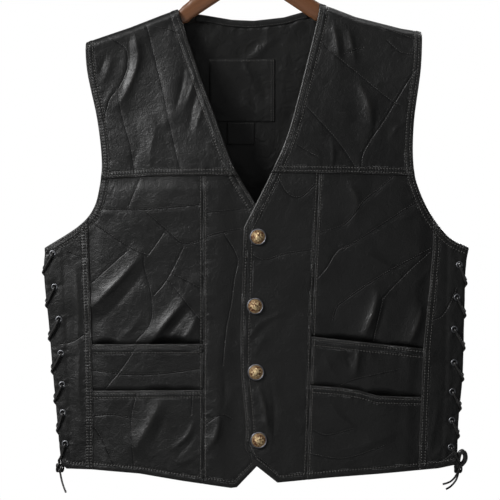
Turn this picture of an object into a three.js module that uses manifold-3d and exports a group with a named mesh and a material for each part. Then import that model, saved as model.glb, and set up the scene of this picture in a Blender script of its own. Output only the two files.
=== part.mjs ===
// A leather vest with laced sides, hanging on a wooden hanger.
// Millimetres, +Z up, the front faces -Y. The origin is where the hook bears on its rail.
// Left and right are those of a person who looks at the front: left is -X.
import * as THREE from "three";
import { mergeVertices } from "three/addons/utils/BufferGeometryUtils.js";
import Module from "manifold-3d";

const wasm = await Module();
wasm.setup();

// Cloth
const LEATHER = 2; // thickness of a leather wall
const SATIN = 1; // thickness of a lining wall
const BAND_LEATHER = 1.5; // the facing at the back neck is skived thinner
const GAP = 0.3; // between pieces that are sewn together or lie on each other
const FRONT_DEPTH = 37; // how far the middle of the front stands from the plane of the hanger
const BACK_DEPTH = 28; // and the middle of the back
const SIDE_DEPTH = 10; // and both of them at the laced sides
const ARCH_DEPTH = 13; // half the thickness of the shoulder where it bends over the hanger
const ARCH_DROP = 10; // height of that bend
const BODY_DROP = 230; // how far below the shoulder the body has its full depth

// Pockets
const PATCH_PROUD = 0.6; // a pocket patch stands this far out of the panels beside it
const UPPER_TUCK = 2.1; // the upper patch goes this far back behind the lower one
const PANEL_TUCK = 5.4; // and the panel this far back behind both
const MOUTH_BEND = 12; // height over which the leather above a mouth bends back
const UNDERLAP = 12; // how far the upper patch runs on behind the lower one
const OVERLAP_STEP = LEATHER + GAP; // the left front lies this much deeper under the right one
const OVERLAP_FROM = -46; // where the left front starts to step back
const OVERLAP_TO = -17; // and where it lies fully under the right front

// Fittings
const SNAP = { seat: 0.75, radius: 10.5, height: 4.2, sides: 16 };
const EYELET = { seat: 0.4, hole: 2.4, barrel: 2.8, rim: 4.65, rimThickness: 0.8, tail: 0.6, sides: 8 };
const EYELET_CUT = 3.7; // radius of the hole in the leather
const LACE = { radius: 1.3, sides: 8 };

// Hanger
const WOOD = { thickness: 14, height: 21, edge: 3, reach: 192, clearance: 1.3 };
const HOOK = { wire: 1.8, radius: 20, from: -28, sweep: 210, sides: 8, steps: 18 };

// Outlines, seen from the front: columns x and z
const SHOULDER = [
  { x: -262, z: -190 }, { x: -213, z: -172 }, { x: -157, z: -153 }, { x: -96, z: -129.3 },
  { x: 0, z: -98 }, { x: 87.6, z: -121.6 }, { x: 133, z: -139.3 }, { x: 192, z: -154.4 },
  { x: 216, z: -158 }, { x: 275, z: -172 },
];
const LEFT_ARMHOLE = [
  { x: -213.5, z: -160 }, { x: -210.8, z: -209 }, { x: -198, z: -270 }, { x: -192, z: -321 },
  { x: -194, z: -352 }, { x: -202, z: -385 }, { x: -221.4, z: -408.3 }, { x: -265, z: -436.5 },
];
const RIGHT_ARMHOLE = [
  { x: 217.8, z: -150 }, { x: 215.8, z: -206 }, { x: 207, z: -274 }, { x: 206, z: -328 },
  { x: 213.5, z: -362 }, { x: 230.4, z: -396 }, { x: 253.4, z: -423.7 }, { x: 277.5, z: -436 },
];
const LEFT_SIDE = [
  { x: -265, z: -436.5 }, { x: -266.3, z: -470 }, { x: -260.7, z: -528.6 }, { x: -256, z: -585 },
  { x: -250.9, z: -641 }, { x: -247.5, z: -680 }, { x: -244.5, z: -712.5 },
];
const RIGHT_SIDE = [
  { x: 277.5, z: -436 }, { x: 273.4, z: -467 }, { x: 271.2, z: -549 }, { x: 269.2, z: -605 },
  { x: 264, z: -661 }, { x: 262.4, z: -713.5 },
];
const LEFT_HEM = [
  { x: -244.5, z: -712.5 }, { x: -238, z: -718.6 }, { x: -206, z: -719.4 }, { x: -144, z: -724.2 },
  { x: -92, z: -732.8 }, { x: -27, z: -742.3 }, { x: -19.5, z: -741.4 }, { x: 5.8, z: -715 },
  { x: 14, z: -705 }, { x: 19.6, z: -691 },
];
const RIGHT_HEM = [
  { x: 262.4, z: -713.5 }, { x: 239.4, z: -718.1 }, { x: 164, z: -724.5 }, { x: 100, z: -729.1 },
  { x: 32.5, z: -735.4 }, { x: 0.9, z: -710.4 }, { x: -9, z: -691.2 },
];
const LEFT_NECK = [
  { x: -96, z: -129.3 }, { x: -89.6, z: -148.5 }, { x: -65.3, z: -220.2 }, { x: -48.6, z: -266.2 },
  { x: -24.3, z: -331.5 }, { x: 4.6, z: -380.8 }, { x: 19.6, z: -411 },
];
const RIGHT_NECK = [
  { x: 87.6, z: -121.6 }, { x: 83, z: -148.5 }, { x: 62.1, z: -233 }, { x: 45.8, z: -291.8 },
  { x: 26.1, z: -337.9 }, { x: 4.6, z: -381.4 }, { x: -10.4, z: -411 },
];
const RIGHT_FRONT_EDGE = [
  { x: -10.4, z: -411 }, { x: -12.4, z: -481 }, { x: -14.6, z: -543 }, { x: -14.2, z: -595 },
  { x: -10.9, z: -632 }, { x: -8, z: -667 }, { x: -9, z: -691.2 },
];
const BACK_NECK = [
  { x: -96, z: -129.3 }, { x: -88, z: -135.3 }, { x: -65.3, z: -136.8 }, { x: -25.6, z: -143.4 },
  { x: 2, z: -144.6 }, { x: 41, z: -140.3 }, { x: 62.1, z: -134.4 }, { x: 79, z: -130.5 },
  { x: 87.6, z: -121.6 },
];
const BACK_HEM = -708;
const BACK_ARMHOLE_OUT = 1.6; // the back shows this far outside the front at the underarms

// Seams
const LEFT_YOKE_SEAM = [
  { x: -260, z: -350 }, { x: -192, z: -347.8 }, { x: -130, z: -344.3 }, { x: 60, z: -343 },
];
const RIGHT_YOKE_SEAM = [
  { x: -60, z: -338.6 }, { x: 37, z: -340.1 }, { x: 130, z: -341.2 }, { x: 260, z: -345 },
];
const LEFT_INNER_SEAM = [{ x: -62.5, z: -300 }, { x: -62, z: -503 }, { x: -62.7, z: -800 }];
const RIGHT_INNER_SEAM = [{ x: 88, z: -300 }, { x: 78.3, z: -503 }, { x: 72, z: -682 }, { x: 67, z: -800 }];
const LEFT_OUTER_SEAM = [
  { x: -211, z: -300 }, { x: -210.2, z: -411 }, { x: -206.1, z: -529 }, { x: -203.6, z: -634 },
  { x: -203.4, z: -800 },
];
const RIGHT_OUTER_SEAM = [
  { x: 233, z: -300 }, { x: 232, z: -437 }, { x: 226, z: -503 }, { x: 219.5, z: -567 },
  { x: 214.5, z: -686 }, { x: 213, z: -800 },
];
const LEFT_UPPER_MOUTH = [{ x: -230, z: -560.2 }, { x: -40, z: -559.3 }];
const LEFT_LOWER_MOUTH = [{ x: -230, z: -619.8 }, { x: -40, z: -618 }];
const RIGHT_UPPER_MOUTH = [{ x: 60, z: -548 }, { x: 240, z: -568.2 }];
const RIGHT_LOWER_MOUTH = [
  { x: 60, z: -611 }, { x: 114, z: -615.2 }, { x: 137, z: -619 }, { x: 161, z: -625.9 },
  { x: 240, z: -628.5 },
];

// Largest folds: a ridge from one end to the other, its half width and how far it rises
const FRONT_FOLDS = [
  { x1: -150, z1: -163, x2: -168, z2: -250, width: 13, rise: 2.5 },
  { x1: -103, z1: -170, x2: -101, z2: -262, width: 22, rise: 3.5 },
  { x1: -127, z1: -284, x2: -118, z2: -320, width: 18, rise: 2.2 },
  { x1: -144, z1: -447, x2: -202, z2: -510, width: 15, rise: 4 },
  { x1: -88, z1: -505, x2: -128, z2: -548, width: 12, rise: 4 },
  { x1: -74, z1: -530, x2: -80, z2: -548, width: 10, rise: 3 },
  { x1: -118, z1: -640, x2: -146, z2: -690, width: 15, rise: 3 },
  { x1: -44, z1: -640, x2: -50, z2: -705, width: 14, rise: 3 },
  { x1: 106, z1: -160, x2: 112, z2: -200, width: 18, rise: 2 },
  { x1: 152, z1: -242, x2: 150, z2: -290, width: 18, rise: 2.5 },
  { x1: 162, z1: -498, x2: 146, z2: -548, width: 13, rise: 4 },
  { x1: 212, z1: -516, x2: 202, z2: -556, width: 12, rise: 3 },
  { x1: 27, z1: -612, x2: 25, z2: -696, width: 14, rise: 2.5 },
  { x1: 136, z1: -572, x2: 132, z2: -596, width: 10, rise: 2 },
];
const BACK_FOLDS = [
  { x1: -120, z1: -180, x2: -60, z2: -330, width: 22, rise: 3 },
  { x1: 110, z1: -190, x2: 84, z2: -360, width: 20, rise: 3 },
  { x1: -30, z1: -400, x2: -90, z2: -620, width: 24, rise: 3.5 },
  { x1: 60, z1: -440, x2: 110, z2: -660, width: 22, rise: 3 },
  { x1: -190, z1: -450, x2: -150, z2: -560, width: 20, rise: 2.5 },
  { x1: 200, z1: -470, x2: 170, z2: -590, width: 20, rise: 2.5 },
];

// Fittings, by their places seen from the front
const SNAPS = [{ x: 7.6, z: -422.4 }, { x: 4, z: -510.7 }, { x: 5, z: -595.2 }, { x: 8.6, z: -681.7 }];
const LEFT_EYELETS = [
  { x: -255.5, z: -443.5 }, { x: -253, z: -486.4 }, { x: -247.6, z: -528 }, { x: -244.9, z: -571.6 },
  { x: -243.5, z: -611.8 }, { x: -242.5, z: -647.7 }, { x: -239.5, z: -687.4 },
];
const RIGHT_EYELETS = [
  { x: 266, z: -458.2 }, { x: 263, z: -499.8 }, { x: 259.5, z: -540.8 }, { x: 259.3, z: -583.4 },
  { x: 257, z: -620.7 }, { x: 256.6, z: -657.5 }, { x: 255.4, z: -692.1 },
];

const COLOURS = {
  leather: { color: 0x242423, roughness: 0.42, metalness: 0 },
  thong: { color: 0x191918, roughness: 0.35, metalness: 0 },
  satin: { color: 0x161616, roughness: 0.6, metalness: 0 },
  eyelet: { color: 0x3a3b3d, roughness: 0.35, metalness: 1 },
  cap: { color: 0xa58a62, roughness: 0.4, metalness: 1 },
  wood: { color: 0x6b4428, roughness: 0.45, metalness: 0 },
  steel: { color: 0xb8babd, roughness: 0.25, metalness: 1 },
};

const vest = new THREE.Group();

function addMesh(name, geometry, colours) {
  const mesh = new THREE.Mesh(geometry, new THREE.MeshStandardMaterial(colours));
  mesh.name = name;
  vest.add(mesh);
  return mesh;
}

// 0 below the first value, 1 above the second, and a soft step between them
function softStep(value, from, to) {
  const t = Math.min(1, Math.max(0, (value - from) / (to - from)));
  return t * t * (3 - 2 * t);
}

// The value of one column of a line where its other column has the value given
function read(line, by, value, column) {
  const rising = line[line.length - 1][by] > line[0][by];
  const rows = rising ? line : [...line].reverse();
  let i = 1;
  while (i < rows.length - 1 && rows[i][by] < value) i++;
  const from = rows[i - 1];
  const to = rows[i];
  const t = (value - from[by]) / (to[by] - from[by]);
  return from[column] + t * (to[column] - from[column]);
}

function shift(line, dx, dz) {
  return line.map((point) => ({ x: point.x + dx, z: point.z + dz }));
}

// A smooth line through the points of a line
function rounded(line, divisions = 2) {
  const curve = new THREE.SplineCurve(line.map((point) => new THREE.Vector2(point.x, point.z)));
  return curve.getPoints((line.length - 1) * divisions).map((point) => ({ x: point.x, z: point.y }));
}

function toSolid(geometry) {
  const bare = geometry.clone();
  bare.deleteAttribute("normal");
  bare.deleteAttribute("uv");
  const merged = mergeVertices(bare, 1e-4);
  return new wasm.Manifold(
    new wasm.Mesh({
      numProp: 3,
      vertProperties: merged.attributes.position.array,
      triVerts: new Uint32Array(merged.index.array),
    }),
  );
}

function toGeometry(solid) {
  const mesh = solid.getMesh();
  const geometry = new THREE.BufferGeometry();
  geometry.setAttribute("position", new THREE.BufferAttribute(mesh.vertProperties, 3));
  geometry.setIndex(new THREE.BufferAttribute(mesh.triVerts, 1));
  geometry.computeVertexNormals();
  return geometry;
}

// A prism along Y whose section is a closed outline seen from the front
function prism(outline, fromY, toY) {
  const shape = new THREE.Shape(outline.map((point) => new THREE.Vector2(point.x, point.z)));
  const geometry = new THREE.ExtrudeGeometry(shape, { depth: toY - fromY, bevelEnabled: false });
  return toSolid(geometry.rotateX(Math.PI / 2).translate(0, toY, 0));
}

function foldRise(folds, x, z) {
  let rise = 0;
  for (const fold of folds) {
    const dx = fold.x2 - fold.x1;
    const dz = fold.z2 - fold.z1;
    const t = ((x - fold.x1) * dx + (z - fold.z1) * dz) / (dx * dx + dz * dz);
    const nearest = Math.min(1, Math.max(0, t));
    const away = Math.hypot(x - fold.x1 - nearest * dx, z - fold.z1 - nearest * dz);
    rise += fold.rise * Math.exp(-((away / fold.width) ** 2));
  }
  return rise;
}

// The two shells of the vest: the side that each faces, its depth and its folds
const FRONT = { facing: -1, depth: FRONT_DEPTH, folds: FRONT_FOLDS };
const BACK = { facing: 1, depth: BACK_DEPTH, folds: BACK_FOLDS };

// How far a shell's outer face stands from the plane of the hanger
function shellDepth(shell, x, z) {
  const drop = read(SHOULDER, "x", x, "z") - z;
  const edge = x < 0 ? LEFT_SIDE : RIGHT_SIDE;
  const halfWidth = read(edge, "z", Math.min(z, edge[0].z), "x");
  const across = 1 - (x / halfWidth) ** 2;
  const full = SIDE_DEPTH + (shell.depth - SIDE_DEPTH) * across;
  const built = softStep(drop, ARCH_DROP, BODY_DROP);
  const folds = foldRise(shell.folds, x, z) * softStep(drop, ARCH_DROP, 3 * ARCH_DROP);
  return ARCH_DEPTH + (full - ARCH_DEPTH) * built + folds;
}

// A point of a shell, moved in from its outer face. A row is a turn over the shoulder or a height.
function shellPoint(shell, x, row, inward) {
  if (row.turn !== undefined) {
    const top = read(SHOULDER, "x", x, "z") - inward;
    const out = GAP / 2 + (ARCH_DEPTH - inward - GAP / 2) * Math.sin(row.turn);
    const z = top - (ARCH_DROP - inward) * (1 - Math.cos(row.turn));
    return new THREE.Vector3(x, shell.facing * out, z);
  }
  const z = row.height(x);
  return new THREE.Vector3(x, shell.facing * (shellDepth(shell, x, z) - inward), z);
}

// A closed slab between two depths of a shell, over a grid of columns and rows
function slab(shell, columns, rows, outer, inner) {
  const positions = [];
  const faces = [];
  const across = columns.length;
  for (const depthAt of [outer, inner]) {
    for (const row of rows) {
      for (const x of columns) {
        const z = row.turn === undefined ? row.height(x) : read(SHOULDER, "x", x, "z");
        positions.push(...shellPoint(shell, x, row, depthAt(x, z)).toArray());
      }
    }
  }
  const layer = across * rows.length;
  const quad = (a, b, c, d) => faces.push(a, b, c, a, c, d);
  for (let r = 0; r + 1 < rows.length; r++) {
    for (let c = 0; c + 1 < across; c++) {
      const at = r * across + c;
      quad(at, at + across, at + across + 1, at + 1);
      quad(layer + at, layer + at + 1, layer + at + across + 1, layer + at + across);
    }
  }
  for (let c = 0; c + 1 < across; c++) {
    const last = (rows.length - 1) * across + c;
    quad(c, c + 1, layer + c + 1, layer + c);
    quad(last + 1, last, layer + last, layer + last + 1);
  }
  for (let r = 0; r + 1 < rows.length; r++) {
    const first = r * across;
    const end = first + across - 1;
    quad(first + across, first, layer + first, layer + first + across);
    quad(end, end + across, layer + end + across, layer + end);
  }
  if (shell.facing > 0) faces.reverse();
  const geometry = new THREE.BufferGeometry();
  geometry.setAttribute("position", new THREE.Float32BufferAttribute(positions, 3));
  geometry.setIndex(faces);
  return toSolid(geometry);
}

function steps(from, to, pitch) {
  const count = Math.round(Math.abs(to - from) / pitch);
  return Array.from({ length: count + 1 }, (_, i) => from + ((to - from) * i) / count);
}

// Columns with the bends of the shoulder line among them
function withKnots(columns) {
  const knots = SHOULDER.map((p) => p.x).filter((x) => x > columns[0] && x < columns.at(-1));
  const kept = columns.filter((x) => knots.every((knot) => Math.abs(knot - x) > 4));
  return [...kept, ...knots].sort((a, b) => a - b);
}

const even = (value) => () => value;
const levels = (from, to, pitch) => steps(from, to, pitch).map((z) => ({ height: even(z) }));
const below = (line, offsets) => offsets.map((offset) => ({ height: (x) => read(line, "x", x, "z") - offset }));
const archRows = [0, 22, 46, 68, 90].map((degrees) => ({ turn: THREE.MathUtils.degToRad(degrees) }));

// The part of a slab inside every outline given
function cutWall(wall, outlines, shell) {
  const [fromY, toY] = shell.facing < 0 ? [-90, 0] : [0, 90];
  return outlines.reduce((solid, outline) => solid.intersect(prism(outline, fromY, toY)), wall);
}

const TOP = -60; // above every shoulder
const BOTTOM = -790; // below every hem
const FAR = 320; // outside both sides

// The grids of the walls: their pitch, and columns and heights that reach past every outline
const FRONT_PITCH = 25;
const BACK_PITCH = 50;
const YOKE_GRID = { to: 240, firstDrop: ARCH_DROP + 10, lastDrop: 270 };
const CENTRE_GRID = { to: 100, pitch: 18, top: -325, bottom: -760 };
const PANEL_GRID = { from: 50, to: 245, above: 232, below: 186 };
const PATCH_GRID = { above: 84, below: 135 };
const FLANK_GRID = { from: 195, to: 285, pitch: 20, top: -375, bottom: -735 };
const BACK_GRID = { to: 300, firstDrop: ARCH_DROP + 14, lastDrop: 660 };
const BEND_OFFSETS = [-MOUTH_BEND, -8, -4, 0]; // rows where a wall bends back at a mouth

const closeAt = (line, z) => [...line, { x: line.at(-1).x, z }, { x: line[0].x, z }];
const over = (line) => closeAt(shift(line, 0, GAP / 2), TOP);
const under = (line) => closeAt(shift(line, 0, -GAP / 2), BOTTOM);
const between = (left, right) => [...left, ...[...right].reverse()]; // the region from one line to the other
const upright = (x) => [{ x, z: -300 }, { x, z: BOTTOM }];

// The fronts' outlines
const upwards = (line) => [...line].reverse();
const leftFront = [
  { x: LEFT_NECK[0].x, z: TOP },
  ...rounded(LEFT_NECK),
  ...upwards(LEFT_HEM),
  ...upwards(rounded(LEFT_SIDE, 1)),
  ...upwards(rounded(LEFT_ARMHOLE)),
  { x: LEFT_ARMHOLE[0].x, z: TOP },
];
const rightFront = [
  { x: RIGHT_NECK[0].x, z: TOP },
  ...rounded(RIGHT_NECK),
  ...RIGHT_FRONT_EDGE,
  ...upwards(RIGHT_HEM),
  ...upwards(rounded(RIGHT_SIDE, 1)),
  ...upwards(rounded(RIGHT_ARMHOLE)),
  { x: RIGHT_ARMHOLE[0].x, z: TOP },
];

const SIDES = [
  {
    name: "left", sign: -1, outline: leftFront, yokeSeam: LEFT_YOKE_SEAM, middle: 40,
    innerSeam: LEFT_INNER_SEAM, outerSeam: LEFT_OUTER_SEAM, edge: LEFT_SIDE,
    upperMouth: LEFT_UPPER_MOUTH, lowerMouth: LEFT_LOWER_MOUTH, eyelets: LEFT_EYELETS,
    step: (x) => OVERLAP_STEP * softStep(x, OVERLAP_FROM, OVERLAP_TO),
  },
  {
    name: "right", sign: 1, outline: rightFront, yokeSeam: RIGHT_YOKE_SEAM, middle: -30,
    innerSeam: RIGHT_INNER_SEAM, outerSeam: RIGHT_OUTER_SEAM, edge: RIGHT_SIDE,
    upperMouth: RIGHT_UPPER_MOUTH, lowerMouth: RIGHT_LOWER_MOUTH, eyelets: RIGHT_EYELETS,
    step: even(0),
  },
];

// Turns an axis along -Y onto a shell's outward normal at a place
function shellTurn(shell, place) {
  const d = 2;
  const slopeX = (shellDepth(shell, place.x + d, place.z) - shellDepth(shell, place.x - d, place.z)) / (2 * d);
  const slopeZ = (shellDepth(shell, place.x, place.z + d) - shellDepth(shell, place.x, place.z - d)) / (2 * d);
  const normal = new THREE.Vector3(-slopeX, shell.facing, -slopeZ).normalize();
  return new THREE.Quaternion().setFromUnitVectors(new THREE.Vector3(0, -1, 0), normal);
}

function shellPlace(shell, place, inward = 0) {
  const y = shell.facing * (shellDepth(shell, place.x, place.z) - inward);
  return new THREE.Vector3(place.x, y, place.z);
}

// A round solid about -Y from a closed profile, columns r and out
function turned(profile, sides) {
  const points = profile.map((point) => new THREE.Vector2(point.r, point.out));
  return new THREE.LatheGeometry(points, sides).rotateX(Math.PI);
}

function punchEyelets(solid, shell, places) {
  const drill = new THREE.CylinderGeometry(EYELET_CUT, EYELET_CUT, 8 * LEATHER, 6);
  return places.reduce((wall, place) => {
    const at = shellPlace(shell, place, LEATHER / 2);
    const cutter = drill.clone().applyQuaternion(shellTurn(shell, place)).translate(at.x, at.y, at.z);
    return wall.subtract(toSolid(cutter));
  }, solid);
}

// Fronts: yoke, centre, pocket panel, side panel and two pocket patches on each side
for (const side of SIDES) {
  const { name, sign, outline, step } = side;
  const toward = (line, inwards) => shift(line, -sign * inwards * (GAP / 2), 0);
  const plain = step;
  const plainInner = (x) => step(x) + LEATHER;
  const reach = sign * FAR;
  const lengthwise = (from, to, pitch) => steps(Math.min(from, to), Math.max(from, to), pitch);

  const yokeColumns = withKnots(lengthwise(side.middle, sign * YOKE_GRID.to, FRONT_PITCH));
  const yokeDrops = steps(YOKE_GRID.firstDrop, YOKE_GRID.lastDrop, FRONT_PITCH);
  const yokeRows = [...archRows, ...below(SHOULDER, yokeDrops)];
  const yokeWall = slab(FRONT, yokeColumns, yokeRows, plain, plainInner);
  const yoke = cutWall(yokeWall, [outline, over(side.yokeSeam)], FRONT);
  addMesh(name + "_yoke", toGeometry(yoke), COLOURS.leather);

  const lower = under(side.yokeSeam);
  const centreColumns = lengthwise(side.middle, sign * CENTRE_GRID.to, CENTRE_GRID.pitch);
  const centreRows = levels(CENTRE_GRID.top, CENTRE_GRID.bottom, FRONT_PITCH);
  const centreWall = slab(FRONT, centreColumns, centreRows, plain, plainInner);
  const centreRegion = between(toward(side.innerSeam, 1), upright(side.middle));
  const centre = cutWall(centreWall, [outline, lower, centreRegion], FRONT);
  addMesh(name + "_centre", toGeometry(centre), COLOURS.leather);

  const tuckAt = (mouth, depth) => (x, z) => {
    const line = read(mouth, "x", x, "z");
    return depth * softStep(line + MOUTH_BEND - z, 0, MOUTH_BEND);
  };
  const panelTuck = tuckAt(side.upperMouth, PANEL_TUCK);
  const panelColumns = lengthwise(sign * PANEL_GRID.from, sign * PANEL_GRID.to, FRONT_PITCH);
  const panelOffsets = [...steps(-PANEL_GRID.above, -32, 20), ...BEND_OFFSETS, 60, 120, PANEL_GRID.below];
  const panelRows = below(side.upperMouth, panelOffsets);
  const panelWall = slab(FRONT, panelColumns, panelRows, panelTuck, (x, z) => panelTuck(x, z) + LEATHER);
  const panelRegion = between(toward(side.outerSeam, 1), toward(side.innerSeam, -1));
  const panel = cutWall(panelWall, [outline, lower, panelRegion], FRONT);
  addMesh(name + "_pocket_panel", toGeometry(panel), COLOURS.leather);

  const upperTuck = tuckAt(side.lowerMouth, UPPER_TUCK + PATCH_PROUD);
  const upperOuter = (x, z) => upperTuck(x, z) - PATCH_PROUD;
  const upperRows = below(side.lowerMouth, [-PATCH_GRID.above, -64, -42, -24, ...BEND_OFFSETS, 20]);
  const upperWall = slab(FRONT, panelColumns, upperRows, upperOuter, (x, z) => upperOuter(x, z) + LEATHER);
  const upperRegion = between(side.upperMouth, shift(side.lowerMouth, 0, -UNDERLAP));
  const upperPatch = cutWall(upperWall, [panelRegion, upperRegion], FRONT);
  addMesh(name + "_pocket_upper", toGeometry(upperPatch), COLOURS.leather);

  const lowerOuter = even(-PATCH_PROUD);
  const lowerRows = below(side.lowerMouth, steps(-15, PATCH_GRID.below, FRONT_PITCH));
  const lowerWall = slab(FRONT, panelColumns, lowerRows, lowerOuter, even(LEATHER - PATCH_PROUD));
  const lowerPatch = cutWall(lowerWall, [outline, panelRegion, closeAt(side.lowerMouth, BOTTOM)], FRONT);
  addMesh(name + "_pocket_lower", toGeometry(lowerPatch), COLOURS.leather);

  const flankColumns = lengthwise(sign * FLANK_GRID.from, sign * FLANK_GRID.to, FRONT_PITCH);
  const flankRows = levels(FLANK_GRID.top, FLANK_GRID.bottom, FLANK_GRID.pitch);
  const flankWall = slab(FRONT, flankColumns, flankRows, plain, plainInner);
  const flankRegion = between(toward(side.outerSeam, -1), upright(reach));
  const flank = punchEyelets(cutWall(flankWall, [outline, flankRegion], FRONT), FRONT, side.eyelets);
  addMesh(name + "_side_panel", toGeometry(flank), COLOURS.leather);
}

// Back: one panel, with a facing band, a lining, a patch and a blank label on its inside
function backArmhole(line) {
  return rounded(line).map((point) => {
    const out = BACK_ARMHOLE_OUT * softStep(-point.z, 330, 400);
    return { x: point.x + Math.sign(point.x) * out, z: point.z };
  });
}
const backOutline = [
  ...rounded(BACK_NECK),
  { x: BACK_NECK.at(-1).x, z: TOP },
  { x: RIGHT_ARMHOLE[0].x, z: TOP },
  ...backArmhole(RIGHT_ARMHOLE),
  ...rounded(RIGHT_SIDE, 1).slice(1, -1),
  { x: RIGHT_SIDE.at(-1).x, z: BACK_HEM },
  { x: LEFT_SIDE.at(-1).x, z: BACK_HEM },
  ...upwards(rounded(LEFT_SIDE, 1).slice(1, -1)),
  ...upwards(backArmhole(LEFT_ARMHOLE)),
  { x: LEFT_ARMHOLE[0].x, z: TOP },
  { x: BACK_NECK[0].x, z: TOP },
];
const backColumns = withKnots(steps(-BACK_GRID.to, BACK_GRID.to, BACK_PITCH));
const backDrops = steps(BACK_GRID.firstDrop, BACK_GRID.lastDrop, BACK_PITCH);
const backRows = [...archRows, ...below(SHOULDER, backDrops)];
const backWall = slab(BACK, backColumns, backRows, even(0), even(LEATHER));
const backCut = cutWall(backWall, [backOutline], BACK);
const backPanel = punchEyelets(backCut, BACK, [...LEFT_EYELETS, ...RIGHT_EYELETS]);
addMesh("back_panel", toGeometry(backPanel), COLOURS.leather);

const INSIDE = LEATHER + GAP; // depth of what lies on the inside of the back
const BAND_HEIGHT = 8.3;
const bandTop = rounded(BACK_NECK).filter((point) => point.x > -76 && point.x < 74);
const bandColumns = steps(-90, 90, 15);
const bandRows = below(BACK_NECK, [-4, 6, 16]);
const bandWall = slab(BACK, bandColumns, bandRows, even(INSIDE), even(INSIDE + BAND_LEATHER));
const band = cutWall(bandWall, [between(bandTop, shift(bandTop, 0, -BAND_HEIGHT))], BACK);
addMesh("back_neck_band", toGeometry(band), COLOURS.leather);

const LINING = { margin: 12, left: -218, right: 232, hem: -690 }; // it keeps clear of edges and eyelets
function liningArmhole(line) {
  return rounded(line).slice(3).map((point) => {
    const x = point.x - Math.sign(point.x) * LINING.margin;
    return { x: Math.min(LINING.right, Math.max(LINING.left, x)), z: point.z - LINING.margin };
  });
}
const liningOutline = [
  ...shift(bandTop, 0, -BAND_HEIGHT - GAP),
  { x: 100, z: -151 },
  { x: 194, z: -176 },
  ...liningArmhole(RIGHT_ARMHOLE),
  { x: LINING.right, z: LINING.hem },
  { x: LINING.left, z: LINING.hem },
  ...upwards(liningArmhole(LEFT_ARMHOLE)),
  { x: -194, z: -188 },
  { x: -104, z: -155 },
];
const liningWall = slab(BACK, backColumns, backRows.slice(archRows.length), even(INSIDE), even(INSIDE + SATIN));
addMesh("back_lining", toGeometry(cutWall(liningWall, [liningOutline], BACK)), COLOURS.satin);

const PATCH = { left: -55, right: 29.4, top: -193.3, bottom: -273.6 };
const LABEL = { left: -32.6, right: 3.3, top: -273.9, bottom: -303.4 };
const frame = (box) => closeAt([{ x: box.left, z: box.top }, { x: box.right, z: box.top }], box.bottom);
const onLining = INSIDE + SATIN + GAP;
for (const [name, box] of [["lining_patch", PATCH], ["care_label", LABEL]]) {
  const columns = steps(box.left - 5, box.right + 5, BACK_PITCH / 2);
  const rows = levels(box.top + 5, box.bottom - 5, BACK_PITCH / 2);
  const wall = slab(BACK, columns, rows, even(onLining), even(onLining + SATIN));
  addMesh(name, toGeometry(cutWall(wall, [frame(box)], BACK)), COLOURS.satin);
}

// Snap caps on the overlap of the fronts
const capProfile = [
  { r: 0, out: SNAP.seat }, { r: SNAP.radius - 1.2, out: SNAP.seat }, { r: SNAP.radius, out: SNAP.seat + 1.2 },
  { r: SNAP.radius - 0.8, out: SNAP.seat + 2.6 }, { r: SNAP.radius * 0.55, out: SNAP.seat + SNAP.height - 0.5 },
  { r: 0, out: SNAP.seat + SNAP.height },
];
SNAPS.forEach((place, i) => {
  const cap = addMesh("snap_" + (i + 1), turned(capProfile, SNAP.sides), COLOURS.cap);
  cap.quaternion.copy(shellTurn(FRONT, place));
  cap.position.copy(shellPlace(FRONT, place));
});

// Eyelets of both shells: a rim outside and a barrel through the leather
const half = LEATHER / 2;
const eyeletProfile = [
  { r: EYELET.hole, out: -half - EYELET.tail },
  { r: EYELET.barrel, out: half + EYELET.seat },
  { r: EYELET.rim, out: half + EYELET.seat },
  { r: EYELET.rim, out: half + EYELET.seat + EYELET.rimThickness },
  { r: EYELET.hole, out: half + EYELET.seat + EYELET.rimThickness },
  { r: EYELET.hole, out: -half - EYELET.tail },
];
for (const side of SIDES) {
  for (const [shell, shellName] of [[FRONT, "front"], [BACK, "back"]]) {
    side.eyelets.forEach((place, i) => {
      const name = side.name + "_" + shellName + "_eyelet_" + (i + 1);
      const eyelet = addMesh(name, turned(eyeletProfile, EYELET.sides), COLOURS.eyelet);
      eyelet.quaternion.copy(shellTurn(shell, place));
      eyelet.position.copy(shellPlace(shell, place, half));
    });
  }
}

// A route that a tube follows with one step from each point to the next
class Route extends THREE.Curve {
  constructor(points) {
    super();
    this.points = points;
  }
  getPoint(t, target = new THREE.Vector3()) {
    const at = Math.min(1, Math.max(0, t)) * (this.points.length - 1);
    const i = Math.min(this.points.length - 2, Math.floor(at));
    return target.lerpVectors(this.points[i], this.points[i + 1], at - i);
  }
  getPointAt(u, target) {
    return this.getPoint(u, target);
  }
  getTangentAt(u, target = new THREE.Vector3()) {
    const reach = 0.5 / (this.points.length - 1);
    return target.subVectors(this.getPoint(u + reach), this.getPoint(u - reach)).normalize();
  }
}

function tube(points, radius, sides) {
  const ring = Array.from({ length: sides }, (_, i) => {
    const angle = (2 * Math.PI * (i + 0.5)) / sides;
    return new THREE.Vector2(radius * Math.cos(angle), radius * Math.sin(angle));
  });
  const route = { steps: points.length - 1, extrudePath: new Route(points), bevelEnabled: false };
  return new THREE.ExtrudeGeometry(new THREE.Shape(ring), route);
}

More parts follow.
